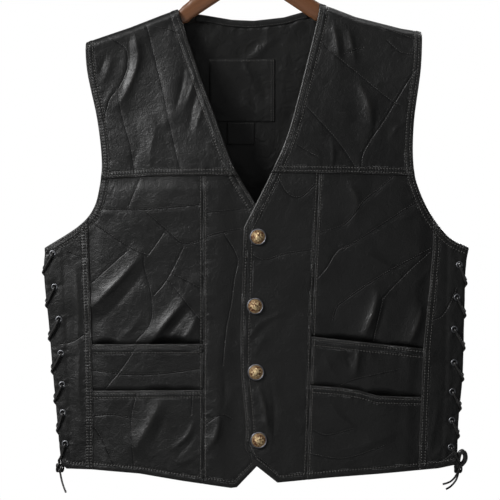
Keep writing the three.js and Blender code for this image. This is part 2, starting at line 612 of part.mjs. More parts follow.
// The lace of one side: from the knot up through every second eyelet of both shells to a bar at
// the top, and down again through the others. It leaves an eyelet outside, turns round the edge
// of its shell and goes to the next eyelet of the other shell from inside.
const LACE_OUT = 3.4; // from the leather's outer face to the middle of the lace, at a rim
const LACE_ON = 2.1; // and where it lies on the leather
const LACE_IN = 2.6; // from the inner face to the middle of the lace
const CROSSING = 4.3; // half the height between the two strands where they pass each other
function crossing(side, i, from, to) {
  const { sign, edge, eyelets } = side;
  const middle = (eyelets[i].z + eyelets[i + 1].z) / 2 + (from === FRONT ? -CROSSING : CROSSING);
  const edgeX = read(edge, "z", middle, "x");
  const point = (shell, x, z, outward) => shellPlace(shell, { x, z }, -outward);
  const next = eyelets[i + 1];
  return [
    point(from, eyelets[i].x, eyelets[i].z, -LEATHER / 2),
    point(from, eyelets[i].x + sign * 0.6, eyelets[i].z - 1, LACE_OUT),
    point(from, edgeX + sign * 0.3, middle + 3.4, LACE_ON + 0.3),
    new THREE.Vector3(edgeX + sign * 3.1, from.facing * (SIDE_DEPTH - 1), middle),
    point(to, next.x + sign * 0.6, next.z + 1.2, -LEATHER - LACE_IN),
  ];
}

const KNOT = { radius: 5.2, stretch: 1.25, below: -0.3 };
for (const side of SIDES) {
  const { name, sign, eyelets, edge } = side;
  const bottom = { x: edge.at(-1).x + sign * 2.2, z: edge.at(-1).z };
  const strand = (first, second) => {
    const points = [];
    for (let i = 0; i + 1 < eyelets.length; i++) {
      const [from, to] = i % 2 ? [second, first] : [first, second];
      points.push(...crossing(side, i, from, to));
    }
    const last = eyelets.at(-1);
    points.push(
      shellPlace(first, last, LEATHER / 2),
      shellPlace(first, { x: last.x + sign * 0.6, z: last.z - 1 }, -LACE_OUT),
      shellPlace(first, { x: bottom.x - sign * 1.6, z: bottom.z + 8 }, -LACE_ON - 0.3),
      new THREE.Vector3(bottom.x + sign * 1.4, first.facing * (SIDE_DEPTH - 1), bottom.z + 3.5),
      new THREE.Vector3(bottom.x + sign * 0.6, first.facing * 3, bottom.z + 0.2),
    );
    return points;
  };
  const lace = [...strand(BACK, FRONT).reverse(), ...strand(FRONT, BACK)];
  addMesh(name + "_lace", tube(lace, LACE.radius, LACE.sides), COLOURS.thong);

  const knot = new THREE.SphereGeometry(KNOT.radius, 8, 6).scale(1, 1, KNOT.stretch);
  const knotMesh = addMesh(name + "_knot", knot, COLOURS.thong);
  knotMesh.position.set(bottom.x, 0, bottom.z - KNOT.radius * KNOT.stretch - KNOT.below);
}

// Free ends below the knots: columns x, y and z
const TAILS = {
  left_tail: [
    { x: -246.3, y: -0.3, z: -725.5 }, { x: -244.6, y: -2.4, z: -733.4 }, { x: -242.6, y: -5, z: -740 },
    { x: -240.6, y: -7.4, z: -745.2 }, { x: -238.6, y: -9.4, z: -749.8 },
  ],
  right_tail_1: [
    { x: 263.4, y: -1.6, z: -725.9 }, { x: 259.4, y: -4.4, z: -731.8 }, { x: 254.8, y: -6.4, z: -735.8 },
    { x: 249.8, y: -7.6, z: -738 }, { x: 244.6, y: -8.2, z: -739.4 },
  ],
  right_tail_2: [
    { x: 264.6, y: 1.8, z: -727.3 }, { x: 262.2, y: 0.6, z: -734 }, { x: 258, y: -0.6, z: -739.6 },
    { x: 253.8, y: -1.8, z: -743.4 }, { x: 249, y: -2.6, z: -746 },
  ],
};
for (const [name, places] of Object.entries(TAILS)) {
  const points = places.map((place) => new THREE.Vector3(place.x, place.y, place.z));
  addMesh(name, tube(points, LACE.radius, LACE.sides), COLOURS.thong);
}

// Hanger: a flat arm of wood under both shoulders, and a wire hook screwed into its middle
const WOOD_CENTRE = [{ x: 0, z: -71 }, { x: 16, z: -75.5 }, { x: 47, z: -95.5 }, { x: 80, z: -117.5 }];
const woodTop = (x) => read(SHOULDER, "x", x, "z") - LEATHER - WOOD.clearance;
function woodSide(sign) {
  const inner = WOOD_CENTRE.map((p) => ({ x: sign * p.x, z: p.z + (sign < 0 ? -1 : 0) }));
  const knots = SHOULDER.map((p) => Math.abs(p.x) * (Math.sign(p.x) === sign ? 1 : 0));
  const neck = Math.abs((sign < 0 ? LEFT_NECK : RIGHT_NECK)[0].x);
  const along = [neck, ...knots.filter((x) => x > 105 && x < WOOD.reach), WOOD.reach].sort((a, b) => a - b);
  const outer = along.map((x) => ({ x: sign * x, z: woodTop(sign * x) - (x === neck ? 1.2 : 0) }));
  return [...inner, ...outer];
}
const woodUpper = [...woodSide(-1).reverse().slice(0, -1), ...woodSide(1)];
const woodLower = woodUpper.map((p) => ({ x: p.x, z: p.z - WOOD.height - (Math.abs(p.x) < 90 ? 3 : 0) }));
const woodShape = new THREE.Shape(between(woodUpper, woodLower).map((p) => new THREE.Vector2(p.x, p.z)));
const woodGeometry = new THREE.ExtrudeGeometry(woodShape, {
  depth: WOOD.thickness - 2 * WOOD.edge,
  bevelThickness: WOOD.edge,
  bevelSize: WOOD.edge,
  bevelOffset: -WOOD.edge,
  bevelSegments: 1,
});
woodGeometry.rotateX(Math.PI / 2).translate(0, WOOD.thickness / 2 - WOOD.edge, 0);
addMesh("hanger_wood", woodGeometry, COLOURS.wood);

const neckZ = WOOD_CENTRE[0].z + GAP;
const hookCentreZ = HOOK.wire - HOOK.radius; // the wire's inner face bears at the origin
const stemTop = hookCentreZ - HOOK.radius - 6;
const hookPoints = steps(neckZ, stemTop, 12).map((z) => new THREE.Vector3(0, 0, z));
for (let i = 0; i <= HOOK.steps; i++) {
  const angle = THREE.MathUtils.degToRad(HOOK.from + (i / HOOK.steps) * HOOK.sweep);
  const x = HOOK.radius * Math.cos(angle);
  hookPoints.push(new THREE.Vector3(x, 0, hookCentreZ + HOOK.radius * Math.sin(angle)));
}
addMesh("hanger_hook", tube(hookPoints, HOOK.wire, HOOK.sides), COLOURS.steel);

export default vest;
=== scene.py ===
import math

import bpy
import numpy as np
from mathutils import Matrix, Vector


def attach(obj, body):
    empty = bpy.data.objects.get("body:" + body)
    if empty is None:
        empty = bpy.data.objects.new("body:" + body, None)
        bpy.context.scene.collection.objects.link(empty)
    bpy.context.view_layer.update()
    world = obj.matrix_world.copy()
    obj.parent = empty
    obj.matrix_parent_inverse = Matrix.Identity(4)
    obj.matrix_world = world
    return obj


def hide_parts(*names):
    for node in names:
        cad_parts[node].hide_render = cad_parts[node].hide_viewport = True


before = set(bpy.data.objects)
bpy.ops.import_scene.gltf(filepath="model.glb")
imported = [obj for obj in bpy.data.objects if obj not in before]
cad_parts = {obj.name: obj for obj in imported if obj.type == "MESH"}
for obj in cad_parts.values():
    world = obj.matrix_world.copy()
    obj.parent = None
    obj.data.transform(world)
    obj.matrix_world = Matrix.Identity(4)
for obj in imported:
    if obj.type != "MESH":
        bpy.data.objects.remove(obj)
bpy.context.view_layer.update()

# Left and right are those of a person who looks at the front: left is -X, and the front faces -Y.
# Shapes are worked out in millimetres, and a mesh gets its metres when it is made.
MM = 0.001

# Camera
# The vest is seen level and straight from the front, from far off, so nothing of it is foreshortened.
# The hook and the top of the hanger stay just above the picture.
VIEW_WIDTH = 640  # across the picture, at the vest
VIEW_CENTRE = (-2.6, -20, -439)
CAMERA_AWAY = 6000
SENSOR = 36
camera_data = bpy.data.cameras.new("camera")
camera_data.sensor_width = SENSOR
camera_data.lens = SENSOR * CAMERA_AWAY / VIEW_WIDTH
camera_data.clip_end = 60
camera = bpy.data.objects.new("camera", camera_data)
camera.location = Vector(VIEW_CENTRE) * MM - Vector((0, CAMERA_AWAY * MM, 0))
camera.rotation_euler = (math.pi / 2, 0, 0)
bpy.context.scene.collection.objects.link(camera)
bpy.context.scene.camera = camera


# Free ends of the laces
# Each side is closed by one black leather thong, and its two ends are tied at the hem. They hang out
# of the knot for about three centimetres and are cut off square: one shows on the left, two on the right.
def linear(colour):
    """An sRGB hex colour as the linear RGBA that a shader takes."""
    channels = [int(colour[i : i + 2], 16) / 255 for i in (1, 3, 5)]
    return (*(c / 12.92 if c <= 0.04045 else ((c + 0.055) / 1.055) ** 2.4 for c in channels), 1)


def set_inputs(node, inputs):
    """Sets a node's inputs to values, or links them to other nodes: to a socket, or a node's first one."""
    for name, value in inputs.items():
        if isinstance(value, bpy.types.Node):
            value = value.outputs[0]
        if isinstance(value, bpy.types.NodeSocket):
            node.id_data.links.new(value, node.inputs[name])
        else:
            node.inputs[name].default_value = value


def add_node(tree, kind, inputs, **settings):
    """A node with its settings, and with its inputs set or linked."""
    node = tree.nodes.new("ShaderNode" + kind)
    for name, value in settings.items():
        setattr(node, name, value)
    set_inputs(node, inputs)
    return node


def start_material(name, surface):
    """A new material with its surface shader's own values, and the place on the object to start from."""
    material = bpy.data.materials.new(name)
    material.use_nodes = True
    tree = material.node_tree
    shader = tree.nodes["Principled BSDF"]
    set_inputs(shader, surface)
    return material, tree, shader, add_node(tree, "TexCoord", {}).outputs["Object"]


def thong_leather():
    """Round black leather thong: dyed through, waxed and rubbed smooth, with fine cracks along it."""
    material, tree, shader, place = start_material(
        "waxed_leather_thong", {"Roughness": 0.34, "Specular IOR Level": 0.5, "IOR": 1.5}
    )
    tone = add_node(tree, "TexNoise", {"Vector": place, "Scale": 1 / (6 * MM)})
    colour = add_node(
        tree, "Mix", {0: tone, 6: linear("#0d0d0d"), 7: linear("#2a2928")}, data_type="RGBA"
    )
    grain = add_node(tree, "TexNoise", {"Vector": place, "Scale": 1 / (0.9 * MM), "Detail": 4})
    bump = add_node(tree, "Bump", {"Height": grain, "Distance": 0.12 * MM, "Strength": 0.6})
    set_inputs(shader, {"Base Color": colour.outputs[2], "Normal": bump})
    return material


def mesh_piece(name, points, faces, materials):
    """A smooth mesh object from points in millimetres."""
    mesh = bpy.data.meshes.new(name)
    mesh.from_pydata((np.asarray(points) * MM).tolist(), [], faces)
    mesh.validate()
    mesh.shade_smooth()
    for material in materials:
        mesh.materials.append(material)
    piece = bpy.data.objects.new(name, mesh)
    bpy.context.scene.collection.objects.link(piece)
    return piece


def smooth_path(points, steps):
    """Points on a smooth curve through the points given, with so many steps in each stretch."""
    knots = np.asarray(points, dtype=float)
    padded = np.vstack([2 * knots[0] - knots[1], knots, 2 * knots[-1] - knots[-2]])
    path = []
    for i in range(len(knots) - 1):
        a, b, c, d = padded[i : i + 4]
        slope, bend, twist = c - a, 2 * a - 5 * b + 4 * c - d, 3 * b - a - 3 * c + d
        for t in np.arange(steps) / steps:
            path.append(0.5 * (2 * b + slope * t + bend * t**2 + twist * t**3))
    path.append(knots[-1])
    return np.array(path)


def lengths_along(line):
    """How far along a line each of its points lies."""
    return np.concatenate([[0], np.cumsum(np.linalg.norm(np.diff(line, axis=0), axis=1))])


def unit(vectors):
    return vectors / np.linalg.norm(vectors, axis=-1, keepdims=True)


def ring_faces(rings, sides, closed=False):
    """Faces between rings of points, each ring joined to the next, and if closed the last to the first."""
    faces = []
    for i in range(rings if closed else rings - 1):
        for k in range(sides):
            here, ahead, beside = i * sides, (i + 1) % rings * sides, (k + 1) % sides
            faces.append((here + k, here + beside, ahead + beside, ahead + k))
    return faces


def capped_faces(rings, sides):
    """Faces between rings of points, with a flat face at each end."""
    ends = [tuple(reversed(range(sides))), tuple(range((rings - 1) * sides, rings * sides))]
    return ring_faces(rings, sides) + ends


def circle(sides):
    """The angles of so many places round a circle."""
    return 2 * math.pi * np.arange(sides) / sides


def tube(path, radius, sides=12, flatten=1.0, closed=False):
    """Points and faces of a tube along a path, its section carried along without a twist."""
    path = np.asarray(path, dtype=float)
    if closed:
        along = unit(np.roll(path, -1, axis=0) - np.roll(path, 1, axis=0))
    else:
        along = unit(np.gradient(path, axis=0))
    across = np.cross(along[0], (0.13, 1, 0.21))  # any direction that no tube here runs in
    points = []
    radii = np.broadcast_to(radius, len(path))
    for place, direction, size in zip(path, along, radii):
        across = unit(across - direction * (across @ direction))
        up = np.cross(direction, across)
        points += [
            place + size * (math.cos(a) * across + flatten * math.sin(a) * up) for a in circle(sides)
        ]
    return points, ring_faces(len(path), sides, True) if closed else capped_faces(len(path), sides)


def finish_piece(piece, node=None):
    """Lets a piece ride on the vest's one body, and hides the solid it stands for, if it has one."""
    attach(piece, "root")
    if node:
        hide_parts(node)


THONG = thong_leather()
THONG_RADIUS = 1.3
THONG_FLAT = 0.86  # the thong is a little flatter than it is wide
TAILS = {  # from inside the knot to the cut end: columns x, y, z
    "left_tail": [
        (-248.4, 0.6, -719), (-247.4, 0.3, -722.4), (-246.3, -0.3, -725.5), (-244.6, -2.4, -733.4),
        (-242.6, -5, -740), (-240.6, -7.4, -745.2), (-238.6, -9.4, -749.8),
    ],
    "right_tail_1": [
        (266.4, 0.6, -719), (265.2, -0.4, -722.6), (263.4, -1.6, -725.9), (259.4, -4.4, -731.8),
        (254.8, -6.4, -735.8), (249.8, -7.6, -738), (244.6, -8.2, -739.4),
    ],
    "right_tail_2": [
        (266.2, 2, -719.6), (265.6, 2, -723.4), (264.6, 1.8, -727.3), (262.2, 0.6, -734),
        (258, -0.6, -739.6), (253.8, -1.8, -743.4), (249, -2.6, -746),
    ],
}
for name, places in TAILS.items():
    path = smooth_path(places, 5)
    tail = mesh_piece(name + "_thong", *tube(path, THONG_RADIUS), [THONG])
    finish_piece(tail, name)


# The vest's form
# The leather hangs over the hanger in two shells, a front and a back, which meet at the shoulders and
# bend over the wood there. They are deepest at the middle and nearly flat at the laced sides.
FRONT_DEPTH = 37  # how far the middle of the front stands from the plane of the hanger
BACK_DEPTH = 28
SIDE_DEPTH = 10
ARCH_DEPTH = 13  # half the thickness of the shoulder where it bends over the hanger
ARCH_DROP = 10
BODY_DROP = 230  # how far below the shoulder the body has its full depth
SHOULDER_GAP = 0.3
SHOULDER = [  # columns x, z
    (-262, -190), (-213, -172), (-157, -153), (-96, -129.3), (0, -98), (87.6, -121.6),
    (133, -139.3), (192, -154.4), (216, -158), (275, -172),
]
LEFT_ARMHOLE = [
    (-213.5, -160), (-210.8, -209), (-198, -270), (-192, -321), (-194, -352), (-202, -385),
    (-221.4, -408.3), (-265, -436.5),
]
RIGHT_ARMHOLE = [
    (217.8, -150), (215.8, -206), (207, -274), (206, -328), (213.5, -362), (230.4, -396),
    (253.4, -423.7), (277.5, -436),
]
LEFT_SIDE = [
    (-265, -436.5), (-266.3, -470), (-260.7, -528.6), (-256, -585), (-250.9, -641),
    (-247.5, -680), (-244.5, -712.5),
]
RIGHT_SIDE = [
    (277.5, -436), (273.4, -467), (271.2, -549), (269.2, -605), (264, -661), (262.4, -713.5),
]
FRONT_FOLDS = [  # the largest: columns x1, z1, x2, z2, half width, rise
    (-150, -163, -168, -250, 13, 2.5), (-103, -170, -101, -262, 22, 3.5),
    (-127, -284, -118, -320, 18, 2.2), (-144, -447, -202, -510, 15, 4),
    (-88, -505, -128, -548, 12, 4), (-74, -530, -80, -548, 10, 3),
    (-118, -640, -146, -690, 15, 3), (-44, -640, -50, -705, 14, 3), (106, -160, 112, -200, 18, 2),
    (152, -242, 150, -290, 18, 2.5), (162, -498, 146, -548, 13, 4), (212, -516, 202, -556, 12, 3),
    (27, -612, 25, -696, 14, 2.5), (136, -572, 132, -596, 10, 2),
]
BACK_FOLDS = [
    (-120, -180, -60, -330, 22, 3), (110, -190, 84, -360, 20, 3), (-30, -400, -90, -620, 24, 3.5),
    (60, -440, 110, -660, 22, 3), (-190, -450, -150, -560, 20, 2.5), (200, -470, 170, -590, 20, 2.5),
]
FOLD_WIDTH = 0.8  # the leather's folds are drawn in this much from the widths given above
FOLD_HEIGHT = 0.5  # and stand up less, for the creases below add the rest
FRONT = {"facing": -1, "depth": FRONT_DEPTH, "folds": FRONT_FOLDS}
BACK = {"facing": 1, "depth": BACK_DEPTH, "folds": BACK_FOLDS}


def smooth(t):
    return t * t * (3 - 2 * t)


def soft_step(value, start, end):
    """0 before the start, 1 after the end, and a soft step between them."""
    return smooth(np.clip((value - start) / (end - start), 0, 1))


def read(line, value, by=0):
    """The other column of a line of x and z, where column `by` has the value given."""
    rows = np.array(sorted(line, key=lambda row: row[by]))
    return np.interp(value, rows[:, by], rows[:, 1 - by])


def fold_rise(folds, x, z):
    """Height of the large folds, each a soft ridge that ends round."""
    rise = np.zeros_like(x)
    for x1, z1, x2, z2, width, height in folds:
        away = to_line([(x1, z1), (x2, z2)], x, z)[0]
        rise += FOLD_HEIGHT * height * np.exp(-((away / (FOLD_WIDTH * width)) ** 2))
    return rise


def shell_depth(shell, x, z):
    """How far a shell's outer face stands from the plane of the hanger."""
    drop = read(SHOULDER, x) - z
    half_width = np.where(x < 0, read(LEFT_SIDE, z, by=1), read(RIGHT_SIDE, z, by=1))
    across = 1 - (x / half_width) ** 2
    full = SIDE_DEPTH + (shell["depth"] - SIDE_DEPTH) * across
    built = soft_step(drop, ARCH_DROP, BODY_DROP)
    folds = fold_rise(shell["folds"], x, z) * soft_step(drop, ARCH_DROP, 3 * ARCH_DROP)
    return ARCH_DEPTH + (full - ARCH_DEPTH) * built + folds


def shell_surface(shell, x, z):
    """Points of a shell's outer face and the directions that it faces, the bend at the shoulder too."""
    facing = shell["facing"]
    drop = np.clip(read(SHOULDER, x) - z, 0, None)
    turn = np.arccos(1 - np.clip(drop / ARCH_DROP, 0, 1))
    reach = ARCH_DEPTH - SHOULDER_GAP / 2
    bent = SHOULDER_GAP / 2 + reach * np.sin(turn)
    y = facing * np.where(drop < ARCH_DROP, bent, shell_depth(shell, x, z))
    d = 2.0  # slopes are read this far to both sides
    slope_x = (shell_depth(shell, x + d, z) - shell_depth(shell, x - d, z)) / (2 * d)
    slope_z = (shell_depth(shell, x, z + d) - shell_depth(shell, x, z - d)) / (2 * d)
    flat = np.stack([-slope_x, np.full_like(x, facing), -slope_z], axis=-1)
    fall = (read(SHOULDER, x + d) - read(SHOULDER, x - d)) / (2 * d)
    up = reach * np.cos(turn)
    over = np.stack([-fall * up, facing * ARCH_DROP * np.sin(turn), up], axis=-1)
    blend = soft_step(drop, 0.8 * ARCH_DROP, 1.4 * ARCH_DROP)[..., None]
    normals = unit(unit(flat) * blend + unit(over) * (1 - blend))
    return np.stack([x, y, z], axis=-1), normals


def to_line(line, x, z):
    """Distance to a line, the place along it, the side (1 is left of its way, seen from the front), and
    the line's length."""
    best = np.full(x.shape, 1e9)
    along = np.zeros(x.shape)
    side = np.ones(x.shape)
    start = 0.0
    for (x1, z1), (x2, z2) in zip(line[:-1], line[1:]):
        dx, dz = x2 - x1, z2 - z1
        length = math.hypot(dx, dz)
        t = np.clip(((x - x1) * dx + (z - z1) * dz) / length**2, 0, 1)
        away = np.hypot(x - x1 - t * dx, z - z1 - t * dz)
        nearer = away < best
        best = np.where(nearer, away, best)
        along = np.where(nearer, start + t * length, along)
        side = np.where(nearer, np.sign(dx * (z - z1) - dz * (x - x1)), side)
        start += length
    return best, along, side, start


def uneven(value, pitch, seed):
    """A smooth, uneven wave of about that pitch, between -1 and 1."""
    heights = np.random.RandomState(seed).uniform(-1, 1, 512)
    place = np.asarray(value) / pitch
    cell = np.floor(place).astype(int)
    t = smooth(place - cell)
    return heights[cell % 512] * (1 - t) + heights[(cell + 1) % 512] * t


def lumps(x, z, pitch, seed):
    """Soft, uneven hills of about that pitch, between -1 and 1."""
    heights = np.random.RandomState(seed).uniform(-1, 1, (64, 64))
    i, j = np.floor(x / pitch).astype(int), np.floor(z / pitch).astype(int)
    u, v = smooth(x / pitch - i), smooth(z / pitch - j)
    top = heights[i % 64, j % 64] * (1 - u) + heights[(i + 1) % 64, j % 64] * u
    low = heights[i % 64, (j + 1) % 64] * (1 - u) + heights[(i + 1) % 64, (j + 1) % 64] * u
    return top * (1 - v) + low * v


# Creases of the leather
# Lambskin pieces are pulled a little out of line by their seams and by the weight of the vest, and it
# shows in soft ridges and hollows. Each is drawn one by one, with similar ones where the photograph
# doesn't look.
FRONT_CREASES = [  # a line of x and z, its half width and its rise, or its depth below 0
    ([(-150, -163), (-146, -196), (-158, -232), (-170, -252)], 5, 2.6),
    ([(-158, -168), (-157, -200), (-168, -236)], 5, -2.2),
    ([(-178, -186), (-186, -214), (-196, -236)], 5, 0.9),
    ([(-187, -190), (-196, -215)], 4, -1.0),
    ([(-172, -222), (-184, -244), (-190, -268)], 4.5, 0.9),
    ([(-86, -206), (-90, -232), (-98, -258)], 3.2, -1.5),
    ([(-73, -212), (-78, -236), (-88, -262)], 4, 1.4),
    ([(-66, -226), (-76, -258), (-80, -286)], 3.4, -1.2),
    ([(-60, -246), (-68, -272), (-72, -290)], 3, 1.0),
    ([(-122, -282), (-128, -304), (-130, -328)], 6, 1.1),
    ([(-142, -300), (-150, -322), (-152, -338)], 5, -0.9),
    ([(-143, -448), (-172, -480), (-204, -512)], 4.2, 2.4),
    ([(-134, -460), (-160, -494), (-196, -532)], 7, -1.6),
    ([(-87, -505), (-108, -530), (-129, -557)], 3.6, 2.6),
    ([(-78, -512), (-96, -534), (-114, -556)], 5, -1.7),
    ([(-72, -528), (-80, -544), (-92, -556)], 4, 1.6),
    ([(-140, -520), (-150, -536), (-168, -552)], 5, 1.0),
    ([(-118, -637), (-130, -660), (-148, -692)], 6, 2.4),
    ([(-108, -640), (-118, -668), (-128, -690)], 5, -1.1),
    ([(-73, -656), (-82, -676), (-102, -694)], 2.8, 1.7),
    ([(-68, -668), (-80, -686), (-94, -700)], 3.4, -1.0),
    ([(-66, -696), (-78, -706), (-96, -712)], 5, 1.1),
    ([(-41, -652), (-46, -676), (-56, -694)], 4, 2.2),
    ([(-36, -590), (-34, -624), (-40, -650)], 5, -1.0),
    ([(-226, -462), (-222, -520), (-224, -566)], 4.2, 1.7),
    ([(-220, -560), (-222, -610), (-218, -668)], 4.2, 1.9),
    ([(-234, -600), (-232, -640), (-226, -690)], 4, -0.8),
    ([(104, -148), (108, -168), (112, -194)], 5, 2.3),
    ([(115, -158), (118, -178), (120, -196)], 4, -1.0),
    ([(124, -156), (128, -176), (132, -198)], 5, 2.5),
    ([(136, -222), (149, -252), (154, -284)], 8, 2.9),
    ([(160, -256), (158, -282), (150, -306)], 5, -1.2),
    ([(176, -296), (186, -282), (196, -276)], 4, 1.0),
    ([(102, -298), (104, -316), (102, -334)], 4, 1.3),
    ([(122, -350), (134, -376), (130, -402)], 9, 2.0),
    ([(190, -400), (214, -390), (226, -392)], 4, 0.8),
    ([(161, -496), (154, -522), (143, -550)], 4.2, 2.6),
    ([(172, -500), (166, -526), (158, -552)], 5, -1.5),
    ([(132, -452), (150, -446), (190, -470)], 5, 0.9),
    ([(218, -512), (212, -534), (203, -556)], 3.8, 2.9),
    ([(210, -480), (222, -470), (228, -460)], 4, 0.9),
    ([(6, -606), (14, -632), (18, -662), (14, -698)], 5, 2.6),
    ([(25, -610), (29, -650), (25, -700)], 5, -1.6),
    ([(-4, -552), (10, -533), (44, -517)], 2.6, 1.1),
    ([(-5, -562), (8, -546), (24, -532)], 2.6, -0.8),
    ([(0, -578), (10, -560), (20, -544)], 3, 0.8),
    ([(136, -568), (134, -584), (132, -598)], 3, 1.7),
    ([(120, -566), (124, -582), (128, -590)], 3, -0.8),
    ([(92, -572), (100, -590), (112, -604)], 4, 0.7),
    ([(96, -628), (112, -652), (134, -668)], 5, 0.9),
    ([(100, -700), (150, -686), (196, -668)], 7, 0.7),
    ([(238, -632), (234, -664), (226, -700)], 4, 0.9),
    ([(246, -690), (238, -700), (228, -708)], 3, 0.8),
]
BACK_CREASES = [
    ([(-120, -178), (-98, -236), (-66, -300)], 8, 1.8), ([(-104, -190), (-76, -250), (-58, -292)], 7, -1.3),
    ([(112, -186), (100, -250), (86, -330)], 8, 1.7), ([(96, -200), (84, -262), (76, -312)], 6, -1.2),
    ([(-176, -226), (-182, -268), (-176, -318)], 6, 1.2), ([(188, -214), (190, -262), (184, -314)], 6, 1.2),
    ([(-150, -372), (-96, -392), (-30, -386)], 5, 1.1), ([(20, -374), (84, -390), (150, -368)], 5, 1.2),
    ([(-34, -410), (-58, -500), (-92, -600)], 9, 1.8), ([(-12, -440), (-30, -520), (-52, -590)], 8, -1.3),
    ([(62, -446), (84, -540), (112, -640)], 8, 1.6), ([(84, -446), (108, -530), (132, -610)], 7, -1.2),
    ([(-196, -446), (-176, -500), (-150, -556)], 6, 1.5), ([(206, -462), (190, -520), (170, -580)], 6, 1.4),
    ([(-210, -600), (-176, -640), (-130, -668)], 6, 1.2), ([(222, -610), (190, -652), (150, -680)], 6, 1.1),
    ([(-60, -660), (0, -676), (66, -664)], 6, 0.9), ([(-20, -180), (2, -250), (-6, -320)], 8, 0.9),
]


def near_line(line, x, z, reach):
    """Which places lie in the box round a line, made larger by its reach."""
    (low_x, low_z), (high_x, high_z) = np.min(line, axis=0) - reach, np.max(line, axis=0) + reach
    return (x > low_x) & (x < high_x) & (z > low_z) & (z < high_z)


def crease_rise(creases, x, z):
    """Height of all the creases at each place: each fades out towards both its ends."""
    rise = np.zeros_like(x)
    for number, (line, width, height) in enumerate(creases):
        near = near_line(line, x, z, 5 * width)
        if not near.any():
            continue
        away, along, side, length = to_line(smooth_path(line, 4), x[near], z[near])
        fade = np.clip(np.sin(math.pi * (0.08 + 0.84 * along / length)), 0, 1)
        wavy = 1 + 0.16 * uneven(along, 17, number)
        # Steepest at the ridge itself, and one flank runs out further than the other.
        out = away / (width * np.where(side > 0, 0.8, 1.05))
        rise[near] += height * fade * wavy * np.exp(0.36 - np.sqrt(1.5 * out**2 + 0.13))
    return rise


# Black lambskin
# The shell is aniline lambskin of about one millimetre: soft, dyed through and lightly waxed. It is
# sewn together from irregular offcuts, so many fine plain seams run across it.
def lambskin():
    """Lambskin: a fine pebbled grain, cloudy dye, a smoother, paler face where it is rubbed, and painted
    shade in the slits of its seams.
    """
    material, tree, shader, place = start_material(
        "black_lambskin",
        {"Specular IOR Level": 0.38, "IOR": 1.5, "Coat Weight": 0.07, "Coat Roughness": 0.2},
    )
    wear, seam_near, seam_off, row_near, row_along = (
        add_node(tree, "Attribute", {}, attribute_name=mark).outputs["Fac"]
        for mark in ("wear", "seam_near", "seam_off", "row_near", "row_along")
    )
    clouds = add_node(tree, "TexNoise", {"Vector": place, "Scale": 1 / (48 * MM), "Detail": 3})
    dye = add_node(
        tree, "Mix", {0: clouds, 6: linear("#090909"), 7: linear("#131312")}, data_type="RGBA"
    )
    rubbed = add_node(tree, "Math", {0: wear, 1: clouds}, operation="MULTIPLY")
    worn = add_node(
        tree, "Mix", {0: rubbed, 6: dye.outputs[2], 7: linear("#222120")}, data_type="RGBA"
    )
    # The real grain is about half a millimetre. It is drawn three times as coarse, to show at all.
    grain = add_node(
        tree, "TexVoronoi", {"Vector": place, "Scale": 1 / (1.6 * MM), "Smoothness": 0.6},
        feature="SMOOTH_F1",
    )
    creased = add_node(
        tree, "TexNoise",
        {"Vector": place, "Scale": 1 / (7 * MM), "Detail": 6, "Roughness": 0.62, "Distortion": 0.9},
    )
    pebbles = add_node(tree, "Bump", {"Height": grain, "Distance": 0.45 * MM, "Strength": 0.4})
    surface = add_node(
        tree, "Bump", {"Height": creased, "Distance": 1.5 * MM, "Strength": 0.42, "Normal": pebbles}
    )
    gloss = add_node(
        tree, "MapRange",
        {"Value": creased, "From Min": 0.3, "From Max": 0.7, "To Min": 0.38, "To Max": 0.51},
    )
    smoother = add_node(tree, "Math", {0: rubbed, 1: -0.1, 2: gloss}, operation="MULTIPLY_ADD")
    # The slit of a plain seam is half a millimetre wide and is painted near-black as its shade, and the
    # needle puckers each row of topstitching.
    beside = add_node(tree, "Math", {0: seam_off}, operation="ABSOLUTE")
    slit = add_node(
        tree, "MapRange",
        {"Value": beside, "From Min": 0.3, "From Max": 1.1, "To Min": 1.0, "To Max": 0.0},
        interpolation_type="SMOOTHSTEP",
    )
    seam = add_node(tree, "Math", {0: slit, 1: seam_near}, operation="MULTIPLY")
    turns = add_node(
        tree, "Math", {0: row_along, 1: 2 * math.pi / STITCH["pitch"]}, operation="MULTIPLY"
    )
    ripple = add_node(tree, "Math", {0: turns}, operation="SINE")
    pucker = add_node(tree, "Math", {0: ripple, 1: row_near}, operation="MULTIPLY")
    sewn = add_node(tree, "Math", {0: seam, 1: -1.3, 2: pucker}, operation="MULTIPLY_ADD")
    pulled = add_node(
        tree, "Bump", {"Height": sewn, "Distance": 0.3 * MM, "Strength": 0.6, "Normal": surface}
    )
    # Painted shade: the leather is coloured near-black along each seam's slit, as the shadow between the two
    # pieces.
    colour_with_painted_slit_shade = add_node(
        tree, "Mix", {0: seam, 6: worn.outputs[2], 7: linear("#030303")}, data_type="RGBA"
    )
    set_inputs(shader, {"Base Color": colour_with_painted_slit_shade.outputs[2], "Roughness": smoother, "Normal": pulled})
    return material


def thread(name, colour):
    """Bonded polyester sewing thread, three plies twisted together: smooth, with a small bright sheen."""
    material, tree, shader, place = start_material(
        name, {"Base Color": linear(colour), "Roughness": 0.4, "Specular IOR Level": 0.6}
    )
    twist = add_node(
        tree, "TexWave", {"Vector": place, "Scale": 1 / (0.8 * MM)}, bands_direction="DIAGONAL"
    )
    bump = add_node(
        tree, "Bump", {"Height": twist.outputs["Fac"], "Distance": 0.05 * MM, "Strength": 0.5}
    )
    set_inputs(shader, {"Normal": bump})
    return material


